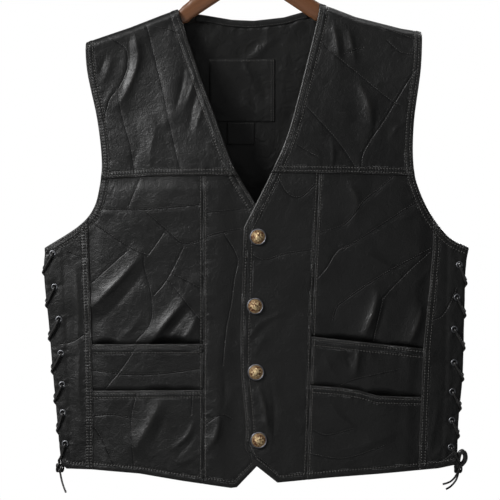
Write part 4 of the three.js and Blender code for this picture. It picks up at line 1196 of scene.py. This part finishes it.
left_armhole, left_edge = back_side(LEFT_ARMHOLE, LEFT_SIDE)
right_armhole, right_edge = back_side(RIGHT_ARMHOLE, RIGHT_SIDE)
left_shoulder = [p for p in SHOULDER if p[0] < BACK_NECK[0][0]]
right_shoulder = [p for p in SHOULDER if p[0] > BACK_NECK[-1][0]]
back_top = [*left_shoulder, *BACK_NECK, *right_shoulder]
back_panel = {
    "shell": BACK, "creases": BACK_CREASES, "seams": BACK_SEAMS, "more": both_sides,
    "holes": LEFT_EYELETS + RIGHT_EYELETS,
    "pinned": [(x, z, EYELET_PIN) for x, z in LEFT_EYELETS + RIGHT_EYELETS],
    "edges": [
        (left_armhole, ARMHOLE), (right_armhole, ARMHOLE), (BACK_NECK, TURNED), (BACK_HEM, HEMMED),
        ([*left_shoulder, BACK_NECK[0]], SEAMED), ([BACK_NECK[-1], *right_shoulder], SEAMED),
        (left_edge, BARE), (right_edge, BARE),
    ],
}
back_left = np.vstack([left_armhole, left_edge[1:]])
back_right = np.vstack([right_armhole, right_edge[1:]])
back_levels = [back_top, moved(back_top, 0, -ARCH_DROP), BACK_HEM]
leather_panel("back", "back_panel", back_panel, back_levels, back_left, back_right, COARSE)


# Inside of the back
# A narrow leather facing finishes the neck, and the rest is lined with thin black satin that is cut a
# little too large, so it lies in soft folds. A second layer of satin is sewn on below the neck, with a
# folded label, here blank, caught under its lower edge.
def satin_cloth():
    """Polyester satin: warp floats laid close together, so it is smooth with a soft sheen across folds."""
    material, tree, shader, place = start_material(
        "black_satin_lining",
        {"Roughness": 0.46, "Specular IOR Level": 0.28, "Sheen Weight": 0.08, "Sheen Roughness": 0.4},
    )
    shade = add_node(tree, "TexNoise", {"Vector": place, "Scale": 1 / (30 * MM), "Detail": 2})
    colour = add_node(
        tree, "Mix", {0: shade, 6: linear("#0c0c0c"), 7: linear("#191918")}, data_type="RGBA"
    )
    # A real float is a tenth of a millimetre wide. It is drawn about ten times as coarse, to show at all.
    weave = add_node(
        tree, "TexWave", {"Vector": place, "Scale": 1 / (3 * MM), "Distortion": 1.5, "Detail": 1},
        bands_direction="DIAGONAL",
    )
    crumple = add_node(
        tree, "TexNoise",
        {"Vector": place, "Scale": 1 / (14 * MM), "Detail": 4, "Roughness": 0.5, "Distortion": 1.2},
    )
    floats = add_node(
        tree, "Bump", {"Height": weave.outputs["Fac"], "Distance": 0.08 * MM, "Strength": 0.35}
    )
    surface = add_node(
        tree, "Bump", {"Height": crumple, "Distance": 2.4 * MM, "Strength": 0.5, "Normal": floats}
    )
    set_inputs(shader, {"Base Color": colour.outputs[2], "Normal": surface})
    return material


SATIN = satin_cloth()
INSIDE = 2.3  # the facing and the lining lie this far in from the outer face of the back
BAND_HEIGHT = 8.3
BAND_THICKNESS = 1.5
SATIN_THICKNESS = 1.0
ON_LINING = INSIDE + SATIN_THICKNESS + 0.3
FACING_LEATHER = (BAND_THICKNESS, LAMBSKIN, "leather")
SATIN_CLOTH = (SATIN_THICKNESS, SATIN, "satin")
INNER_STITCH = {"pitch": 3.1, "length": 2.2, "radius": 0.34}
SATIN_FOLDS = [  # like the creases above, but a rise below 0 comes towards the front
    ([(30, -166), (12, -182), (-8, -196)], 5, -1.76),
    ([(14, -160), (2, -178), (-14, -190)], 5, 0.99),
    ([(-12, -200), (-2, -216), (4, -234)], 5, -1.65),
    ([(-34, -214), (-22, -232), (-12, -246)], 6, 1.1),
    ([(-18, -240), (0, -256), (16, -272)], 7, -1.98),
    ([(8, -212), (16, -228), (18, -250)], 5, 0.99),
    ([(-48, -252), (-30, -262), (-16, -268)], 6, -0.99),
    ([(-44, -160), (-58, -186), (-66, -214)], 8, -1.21),
    ([(46, -156), (44, -196), (40, -232)], 8, -0.88),
    ([(4, -284), (22, -300), (30, -322)], 7, -1.21),
    ([(-30, -310), (-6, -336), (24, -352)], 9, -1.54),
    ([(52, -240), (44, -280), (26, -312)], 8, 0.88),
    ([(-64, -166), (-84, -210), (-90, -260)], 9, -1.32),
    ([(-60, -300), (-90, -380), (-80, -470)], 11, -1.76),
    ([(60, -320), (96, -400), (90, -500)], 11, -1.76),
    ([(-140, -300), (-150, -400), (-130, -500)], 11, 1.54),
    ([(150, -300), (150, -420), (130, -520)], 11, 1.54),
    ([(-100, -560), (-60, -620), (0, -650)], 11, -1.65),
    ([(40, -560), (90, -610), (150, -640)], 11, -1.65),
]
FACED = {"rise": -0.2, "flat": 2.4, "fall": 2, "roll": -0.5, "rows": (), "wear": 0.5}
FELLED = {"rise": -0.2, "flat": 2.2, "fall": 2, "roll": -0.5, "rows": (1.8,), "dip": -0.35, "wear": 0}
TWICE_SEWN = {
    "rise": -0.3, "flat": 3.6, "fall": 2, "roll": -0.5, "rows": (1.4, 4.6), "dip": -0.45, "wear": 0,
}
LOOSE = {"rise": 0, "flat": 1, "fall": 2, "roll": -0.3, "rows": (), "wear": 0}


def neck_puckers(x, z):
    """The satin is gathered a little where it is sewn under the facing."""
    below = read(BACK_NECK, x) - BAND_HEIGHT - z
    fade = np.exp(-np.clip(below, 0, None) / 9) * (below > -2)
    return 0.8 * fade * (uneven(x, 6.4, 71) + 0.5 * uneven(x, 3.1, 72))


def inside_piece(name, edges, depth, levels, left, right, pitch, cloth, more=None):
    """A piece on the inside of the back, cut and sewn; its cloth is a thickness, material and slot, and the
    slot is not used.
    """
    thickness, material, slot = cloth
    panel = {
        "shell": BACK, "creases": BACK_CREASES + SATIN_FOLDS, "edges": edges, "seams": [],
        "depth": depth, "thickness": thickness, "material": material,
    }
    if more:
        panel["more"] = more
    leather_panel(name, name, panel, levels, left, right, pitch, "cloth", slot, INNER_STITCH)


def frame_lines(left, right, top, bottom):
    """The four edges of a square-cut piece."""
    return {
        "top": [(left, top), (right, top)],
        "bottom": [(left, bottom), (right, bottom)],
        "left": [(left, top + 9), (left, bottom - 9)],
        "right": [(right, top + 9), (right, bottom - 9)],
    }


band_top = [p for p in smooth_path(BACK_NECK, 4).tolist() if -76 < p[0] < 74]
band_bottom = moved(band_top, 0, -BAND_HEIGHT)
band_ends = [[(band_top[k][0], -100), (band_top[k][0], -170)] for k in (0, -1)]
inside_piece(
    "back_neck_band", [(band_top, FACED), (band_bottom, FELLED)], INSIDE,
    [band_top, band_bottom], *band_ends, 2.0, FACING_LEATHER,
)
LINING_MARGIN = 12
lining_top = [
    (-214, -194), (-194, -188), (-104, -155), *moved(band_bottom, 0, -0.3),
    (100, -151), (194, -176), (214, -180),
]
lining_left = [(max(-218, x + LINING_MARGIN), z - LINING_MARGIN) for x, z in left_armhole]
lining_right = [(min(232, x - LINING_MARGIN), z - LINING_MARGIN) for x, z in right_armhole]
lining_hem = [(-300, -690), (300, -690)]
inside_piece(
    "back_lining", [(lining_hem, FELLED), (lining_top, LOOSE)], INSIDE, [lining_top, lining_hem],
    lining_left + [(-218, -800)], lining_right + [(232, -800)], 3.2, SATIN_CLOTH, neck_puckers,
)
for name, corners, kinds in (
    (
        "lining_patch", (-55, 29.4, -193.3, -273.6),
        {"top": FELLED, "bottom": LOOSE, "left": LOOSE, "right": TWICE_SEWN},
    ),
    (
        "care_label", (-32.6, 3.3, -273.9, -303.4),
        {"bottom": LOOSE, "left": LOOSE, "right": LOOSE, "top": FELLED},
    ),
):
    sides = frame_lines(*corners)
    edges = [(sides[side], kind) for side, kind in kinds.items()]
    levels = [sides["top"], sides["bottom"]]
    inside_piece(name, edges, ON_LINING, levels, sides["left"], sides["right"], 2.0, SATIN_CLOTH)


# Snaps
# Four ring snaps close the right front over the left. Their caps are pressed brass, antiqued so that
# the hollows stay brown, each set in a turned nickel rim, and carry a plain rosette of leaves.
SNAP_SEAT = 0.75  # from the shell's face to the foot of the rim
SNAP_RADIUS = 10.5
CAP_RADIUS = 9.2
CAP_RISE = 2.3
CAP_FOOT = SNAP_SEAT + 0.3
CAP_EDGE = SNAP_SEAT + 1.2


def antique_brass():
    """Antiqued brass: pale and rubbed on the raised leaves, brown oxide and rust flecks in the hollows."""
    material, tree, shader, place = start_material(
        "antique_brass", {"Metallic": 0.6, "Specular IOR Level": 0.5}
    )
    raised = add_node(tree, "Attribute", {}, attribute_name="raised").outputs["Fac"]
    flecks = add_node(tree, "TexNoise", {"Vector": place, "Scale": 1 / (2.6 * MM), "Detail": 3})
    fleck = add_node(tree, "MapRange", {"Value": flecks, "From Min": 0.5, "From Max": 0.6})
    base = add_node(
        tree, "Mix", {0: raised, 6: linear("#80694a"), 7: linear("#cdb68c")}, data_type="RGBA"
    )
    colour = add_node(
        tree, "Mix", {0: fleck, 6: base.outputs[2], 7: linear("#55301a")}, data_type="RGBA"
    )
    rough = add_node(tree, "MapRange", {"Value": raised, "To Min": 0.62, "To Max": 0.44})
    pits = add_node(tree, "TexNoise", {"Vector": place, "Scale": 1 / (0.7 * MM), "Detail": 3})
    bump = add_node(tree, "Bump", {"Height": pits, "Distance": 0.15 * MM, "Strength": 0.5})
    set_inputs(shader, {"Base Color": colour.outputs[2], "Roughness": rough, "Normal": bump})
    return material


def plated_metal(name, colour, roughness):
    """Plated metal, turned or drawn: even in colour, with fine marks that break up its reflections."""
    material, tree, shader, place = start_material(name, {"Base Color": linear(colour), "Metallic": 1.0})
    marks = add_node(tree, "TexNoise", {"Vector": place, "Scale": 1 / (1.4 * MM), "Detail": 4})
    rough = add_node(
        tree, "MapRange", {"Value": marks, "To Min": roughness - 0.06, "To Max": roughness + 0.14}
    )
    set_inputs(shader, {"Roughness": rough})
    return material


def turned(profile, sides):
    """Points and faces turned about an axis from a closed profile, columns r and out."""
    points = [(r * math.cos(a), out, r * math.sin(a)) for r, out in profile for a in circle(sides)]
    return np.array(points), turned_round(ring_faces(len(profile), sides, True))


def seated(shell, place, points):
    """Points about an axis, columns across, out and up, set square on a shell at a place."""
    base, normals = shell_surface(shell, *np.array(place, float)[:, None])
    out = normals[0]
    across = unit(np.cross(out, (0, 0, 1)))
    up = np.cross(across, out)
    return base[0] + points[:, :1] * across + points[:, 1:2] * out + points[:, 2:] * up


def rosette(r, angle):
    """Relief of the cap: eight ribbed leaves, eight smaller ones between, a boss and a ring of beads."""
    leaf = np.abs(np.cos(4 * angle)) ** 0.8
    between = np.abs(np.sin(4 * angle)) ** 0.9
    height = 0.62 * soft_step((2.2 + 4.6 * leaf) - r, 0, 0.9)
    height += 0.34 * soft_step((1.6 + 3.6 * between) - r, 0, 0.8)
    rib = np.exp(-((np.sin(4 * angle) * r / 1.5) ** 2))
    height -= 0.3 * rib * soft_step(r, 2.4, 3.4) * soft_step(-r, -6.4, -5.4)
    height += 0.3 * soft_step(-r, -2.3, -1.7)
    beads = np.clip(np.cos(26 * angle), 0, 1) * np.exp(-(((r - 8.3) / 0.45) ** 2))
    return height + 0.45 * beads


ANTIQUE_BRASS = antique_brass()
NICKEL = plated_metal("turned_nickel", "#84848a", 0.42)
CAP_SIDES = 112
CAP_RINGS = 33
angles = circle(CAP_SIDES)
r, angle = np.meshgrid(np.linspace(0, CAP_RADIUS, CAP_RINGS + 1)[1:], angles, indexing="ij")
relief = rosette(r, angle)
dome = CAP_EDGE + CAP_RISE * (1 - (r / CAP_RADIUS) ** 2)
cap_points = np.vstack([
    np.stack([r * np.cos(angle), dome + relief, r * np.sin(angle)], axis=-1).reshape(-1, 3),
    [(CAP_RADIUS * math.cos(a), CAP_FOOT, CAP_RADIUS * math.sin(a)) for a in angles],
    [(0, CAP_EDGE + CAP_RISE + 0.9, 0), (0, CAP_FOOT, 0)],
])
foot_row, top, middle = CAP_RINGS * CAP_SIDES, len(cap_points) - 2, len(cap_points) - 1
cap_faces = ring_faces(CAP_RINGS + 1, CAP_SIDES)
cap_faces += [(top, (k + 1) % CAP_SIDES, k) for k in range(CAP_SIDES)]
cap_faces += [(middle, foot_row + k, foot_row + (k + 1) % CAP_SIDES) for k in range(CAP_SIDES)]
raised = np.concatenate([np.clip(relief / 0.7, 0, 1).ravel(), np.zeros(CAP_SIDES), [1, 0]])
rim_profile = [
    (CAP_RADIUS - 0.4, SNAP_SEAT), (SNAP_RADIUS - 1, SNAP_SEAT), (SNAP_RADIUS - 0.3, SNAP_SEAT + 0.3),
    (SNAP_RADIUS, SNAP_SEAT + 1), (SNAP_RADIUS - 0.2, SNAP_SEAT + 1.7),
    (SNAP_RADIUS - 0.8, SNAP_SEAT + 2.1), (CAP_RADIUS, SNAP_SEAT + 1.9),
    (CAP_RADIUS - 0.4, SNAP_SEAT + 1.3),
]
rim_points, rim_faces = turned(rim_profile, 72)
for number, place in enumerate(SNAPS, 1):
    name = f"snap_{number}"
    cap = mesh_piece(name + "_cap", seated(FRONT, place, cap_points), cap_faces, [ANTIQUE_BRASS])
    mark_points(cap, "raised", raised)
    finish_piece(cap, name)
    rim = mesh_piece(name + "_rim", seated(FRONT, place, rim_points), rim_faces, [NICKEL])
    finish_piece(rim)


# Eyelets
# Fourteen brass eyelets on each shell, blackened to gunmetal, are pushed through the leather and rolled
# over on the inside. Their rims are round and rubbed bright where the lace runs over them.
EYELET_HOLE = 2.3
EYELET_RIM = 4.65
RIM_FOOT = 0.15
RIM_HEIGHT = 1.05
GUNMETAL = plated_metal("gunmetal_plated_brass", "#77787b", 0.42)
rim_middle, rim_half = (EYELET_HOLE + EYELET_RIM) / 2, (EYELET_RIM - EYELET_HOLE) / 2
eyelet_profile = [  # the rolled rim, then the barrel through the leather; columns r and out
    (rim_middle + rim_half * math.cos(a), RIM_FOOT + RIM_HEIGHT * math.sin(a))
    for a in np.radians(np.arange(0, 181, 20))
]
eyelet_profile += [(EYELET_HOLE + out, y) for out, y in ((0, -2.2), (0.9, -2.4), (0.7, -2.1), (0.4, 0))]
eyelet_points, eyelet_faces = turned(eyelet_profile, 40)
for side_name, places in (("left", LEFT_EYELETS), ("right", RIGHT_EYELETS)):
    for shell, shell_name in ((FRONT, "front"), (BACK, "back")):
        for number, place in enumerate(places, 1):
            node = f"{side_name}_{shell_name}_eyelet_{number}"
            points = seated(shell, place, eyelet_points)
            finish_piece(mesh_piece(node + "_rim", points, eyelet_faces, [GUNMETAL]), node)


# Laces
# One round leather thong laces each side. It starts at the hem, goes up through every second lace hole
# of both shells and down through the others, always out of a hole, round the edge and in under the
# other shell. Both its ends are tied in one tight knot, which on the right also holds a small bow.
LACE_OUT = 3.4  # from the leather to the middle of the thong, at a rim
LACE_ON = 2.4  # and where it lies on the leather
LACE_IN = 4.6  # from the outer face to the middle of the thong behind it
LACE_RADIUS = 1.7  # pulled tight over the leather, it spreads a little
CROSSING = 2.9  # half the height between the two strands where they pass each other
KNOT_HEIGHT = 13
KNOT_OUT = 2.2  # how far outside the hem's corner the knot sits


def on_shell(shell, x, z, out):
    """The point so far out from a shell's face at a place."""
    depth = shell_depth(shell, np.array([x], float), np.array([z], float))[0]
    return (x, shell["facing"] * (depth + out), z)


def eased(points, pitch, passes):
    """A route through the points at an even pitch, with its corners rounded off."""
    points = np.asarray(points, dtype=float)
    lengths = lengths_along(points)
    at = np.linspace(0, lengths[-1], int(lengths[-1] / pitch) + 2)
    path = np.stack([np.interp(at, lengths, points[:, k]) for k in range(3)], axis=-1)
    for _ in range(passes):
        path[1:-1] = 0.25 * path[:-2] + 0.5 * path[1:-1] + 0.25 * path[2:]
    return path


def crossing(sign, edge, eyelets, i, start, end):
    """Points from one lace hole, round the edge, to the next hole on the other shell."""
    (x, z), (next_x, next_z) = eyelets[i], eyelets[i + 1]
    middle = (z + next_z) / 2 + (-CROSSING if start is FRONT else CROSSING)
    edge_x = float(read(edge, middle, by=1))
    return [
        on_shell(start, x, z, -1),
        on_shell(start, x + sign * 0.6, z - 1, LACE_OUT),
        on_shell(start, edge_x + sign * 0.3, middle + 3.4, LACE_ON),
        (edge_x + sign * 2.3, start["facing"] * (SIDE_DEPTH - 1), middle),
        on_shell(end, next_x + sign * 0.6, next_z + 1.2, -LACE_IN),
    ]


def strand(sign, edge, eyelets, first, second):
    """Points up one half of the lacing, from the first lace hole to the hem, then round the edge."""
    points = []
    for i in range(len(eyelets) - 1):
        start, end = (second, first) if i % 2 else (first, second)
        points += crossing(sign, edge, eyelets, i, start, end)
    (x, z), (foot_x, foot_z) = eyelets[-1], edge[-1]
    foot_x += sign * KNOT_OUT
    return points + [
        on_shell(first, x, z, -1),
        on_shell(first, x + sign * 0.6, z - 1, LACE_OUT),
        on_shell(first, foot_x - sign * 1.6, foot_z + 8, LACE_ON),
        (foot_x + sign * 1.4, first["facing"] * (SIDE_DEPTH - 1), foot_z + 3.5),
        (foot_x + sign * 0.6, first["facing"] * 3, foot_z + 0.2),
    ]


def tied_knot(x, z):
    """A tight ball of turns: the thong wound twice round while it goes five times through the middle."""
    t = circle(240)
    away = 3.1 + 1.5 * np.cos(5 * t)
    height = z - KNOT_HEIGHT / 2 + 0.36 * KNOT_HEIGHT * np.sin(5 * t)
    return np.stack([x + away * np.cos(2 * t), away * np.sin(2 * t), height], axis=-1)


BOW_RADIUS = 3.2  # the thong is squeezed flat and wide where it turns
BOW = [
    (264.8, -1, -716.6), (264.4, -5.4, -708), (266, -9, -700.4), (269.6, -9.6, -697.2), (273, -8.2, -700.8),
    (273.4, -5.4, -707.4), (270.6, -3.4, -712.4), (266.6, -2.4, -716.2), (265, -2, -718),
]
for name, sign, edge, eyelets in (
    ("left", -1, LEFT_SIDE, LEFT_EYELETS), ("right", 1, RIGHT_SIDE, RIGHT_EYELETS),
):
    route = strand(sign, edge, eyelets, BACK, FRONT)[::-1] + strand(sign, edge, eyelets, FRONT, BACK)
    shapes = [tube(eased(route, 0.9, 5), LACE_RADIUS, 10, THONG_FLAT)]
    if name == "right":
        shapes.append(tube(smooth_path(BOW, 8), BOW_RADIUS))
    finish_piece(mesh_piece(name + "_lace_thong", *joined(shapes), [THONG]), name + "_lace")
    knot_route = tied_knot(edge[-1][0] + sign * KNOT_OUT, edge[-1][1] + 0.3)
    knot = mesh_piece(name + "_knot_thong", *tube(knot_route, THONG_RADIUS, closed=True), [THONG])
    finish_piece(knot, name + "_knot")


# Hanger
# A plain flat hanger of solid hardwood, planed with rounded edges, stained and varnished, with a bent
# wire hook in its middle. The leather bends over both its arms.
WOOD_THICKNESS = 14
WOOD_HEIGHT = 21
WOOD_REACH = 192
WOOD_BELOW = 3.3  # from the shoulder's outer face down to the wood
WOOD_MIDDLE = [(0, -71), (16, -75.5), (47, -95.5), (80, -117.5)]  # columns x, z of its upper edge


def varnished_wood():
    """Stained and varnished beech: straight grain along the arm, dark pores, and an even satin gloss."""
    material, tree, shader, _ = start_material(
        "varnished_beech", {"Specular IOR Level": 0.5, "Coat Weight": 0.35, "Coat Roughness": 0.22}
    )
    grain_place = add_node(tree, "Attribute", {}, attribute_name="grain").outputs["Vector"]
    stretched = add_node(
        tree, "Mapping", {"Vector": grain_place, "Scale": (0.06, 1, 1)}, vector_type="POINT"
    )
    # Growth rings 2 mm apart, and pores of a fifth of a millimetre drawn three times as coarse.
    rings = add_node(
        tree, "TexNoise",
        {"Vector": stretched, "Scale": 1 / (4 * MM), "Detail": 4, "Distortion": 0.6},
    )
    pores = add_node(tree, "TexNoise", {"Vector": stretched, "Scale": 1 / (0.9 * MM), "Detail": 2})
    tone = add_node(
        tree, "Mix", {0: rings, 6: linear("#4d2d16"), 7: linear("#6e4527")}, data_type="RGBA"
    )
    dark = add_node(
        tree, "MapRange",
        {"Value": pores, "From Min": 0.42, "From Max": 0.3, "To Min": 0.0, "To Max": 0.6},
    )
    colour = add_node(
        tree, "Mix", {0: dark, 6: tone.outputs[2], 7: linear("#3b2110")}, data_type="RGBA"
    )
    rough = add_node(tree, "MapRange", {"Value": rings, "To Min": 0.34, "To Max": 0.5})
    bump = add_node(tree, "Bump", {"Height": pores, "Distance": 0.08 * MM, "Strength": 0.3})
    set_inputs(shader, {"Base Color": colour.outputs[2], "Roughness": rough, "Normal": bump})
    return material


VARNISHED_WOOD = varnished_wood()
arm_x = np.unique(np.concatenate([np.linspace(-WOOD_REACH, WOOD_REACH, 161), [-80, 80]]))
middle_top = read([(-x, z) for x, z in WOOD_MIDDLE[1:]] + WOOD_MIDDLE, arm_x)
arm_top = read(SHOULDER, arm_x) - WOOD_BELOW
arms = soft_step(np.abs(arm_x), 78, 96)
wood_top = (1 - arms) * middle_top + arms * arm_top
wood_height = WOOD_HEIGHT + 5.5 * (1 - arms)
round_off = np.ones(9) / 9
padded_top = np.pad(wood_top, 4, "edge")
smooth_top = np.minimum(wood_top, np.convolve(padded_top, round_off, "valid"))
wood_points, grain_places = [], []
WOOD_SIDES = 28
WOOD_SQUARE = 0.62  # 1 would make the wood round across, and 0 square
turns = circle(WOOD_SIDES) + math.pi / WOOD_SIDES
round_x = np.sign(np.cos(turns)) * np.abs(np.cos(turns)) ** WOOD_SQUARE
round_z = np.sign(np.sin(turns)) * np.abs(np.sin(turns)) ** WOOD_SQUARE
for x, top, height in zip(arm_x, smooth_top, wood_height):
    into_end = np.clip((WOOD_REACH - abs(x)) / 7, 0, 1)
    size = math.sqrt(1 - (1 - into_end) ** 2) * 0.98 + 0.02
    section = list(zip(round_x * WOOD_THICKNESS / 2 * size, round_z * height / 2 * size))
    wood_points += [(x, y, top - height / 2 + rise) for y, rise in section]
    grain_places += [(x * MM, y * MM, rise * MM) for y, rise in section]
wood_faces = capped_faces(len(arm_x), WOOD_SIDES)
wood = mesh_piece("wooden_hanger", wood_points, wood_faces, [VARNISHED_WOOD])
grain = wood.data.attributes.new("grain", "FLOAT_VECTOR", "POINT")
grain.data.foreach_set("vector", np.array(grain_places, dtype=np.float32).ravel())
finish_piece(wood, "hanger_wood")

HOOK_WIRE = 1.8  # half the thickness of the wire
HOOK_RADIUS = 20
HOOK_CENTRE = HOOK_WIRE - HOOK_RADIUS
STEM_TOP = HOOK_CENTRE - HOOK_RADIUS - 6
STEM_FOOT = -70.7  # in the wood
turn = np.radians(np.linspace(-28, 182, 60))
hook_route = [(0, 0, z) for z in np.linspace(STEM_FOOT, STEM_TOP, 8)]
hook_route += [(HOOK_RADIUS * math.cos(a), 0, HOOK_CENTRE + HOOK_RADIUS * math.sin(a)) for a in turn]
hook_path = eased(hook_route, 1.0, 14)
swell = 1 + 0.35 * soft_step(np.linspace(0, 1, len(hook_path)), 0.965, 0.985)
past = (np.arange(len(hook_path)) - len(hook_path) + 3) / 3  # the last three rings close over the end
tip = np.sqrt(np.clip(1 - past.clip(0) ** 2, 0.02, 1))
STEEL = plated_metal("chromed_steel_wire", "#c9cacc", 0.2)
hook = mesh_piece("wire_hook", *tube(hook_path, HOOK_WIRE * swell * tip, 20), [STEEL])
finish_piece(hook, "hanger_hook")


# Floor, backdrop and lights
# A pale floor far below, an even white behind, and soft studio light from the upper left.
def studio_piece(name, surface, unseen_by):
    """Names the piece just made, finishes it, and hides it from the kinds of light ray given."""
    piece = bpy.context.object
    piece.name = name
    for ray in unseen_by:
        setattr(piece, "visible_" + ray, False)
    material, _, _, _ = start_material("matt_white_" + name, {**surface, "Emission Color": linear("#ffffff")})
    piece.data.materials.append(material)


bpy.context.scene.view_settings.view_transform = "Standard"
bpy.ops.mesh.primitive_circle_add(vertices=96, radius=3.2, fill_type="NGON", location=(0, 0, -1.15))
studio_piece(
    "floor", {"Base Color": linear("#e9e8e6"), "Roughness": 0.8, "Emission Strength": 0.35}, ["glossy"]
)
bpy.ops.mesh.primitive_uv_sphere_add(segments=48, ring_count=24, radius=24)
studio_piece(
    "backdrop",
    {"Base Color": (0, 0, 0, 1), "Roughness": 1, "Specular IOR Level": 0, "Emission Strength": 1.0},
    ["diffuse", "glossy", "shadow"],
)
world = bpy.data.worlds.new("studio")
world.use_nodes = True
set_inputs(world.node_tree.nodes["Background"], {"Color": linear("#dfe2e6"), "Strength": 0.1})
bpy.context.scene.world = world
TARGET = Vector((0, 0, -0.42))
for name, place, size, power in (
    ("key", (-1.75, -1.35, 0.8), 0.9, 72),
    ("fill", (0.3, -2.4, -0.8), 1.6, 2),
    ("top", (0.2, -0.2, 1.4), 1.2, 12),
    ("back", (1.5, 1.5, 0.8), 1.0, 70),
):
    light = bpy.data.lights.new(name, "AREA")
    light.shape = "DISK"
    light.size = size
    light.energy = power
    lamp = bpy.data.objects.new(name, light)
    lamp.location = place
    lamp.rotation_euler = (TARGET - Vector(place)).to_track_quat("-Z", "Y").to_euler()
    bpy.context.scene.collection.objects.link(lamp)
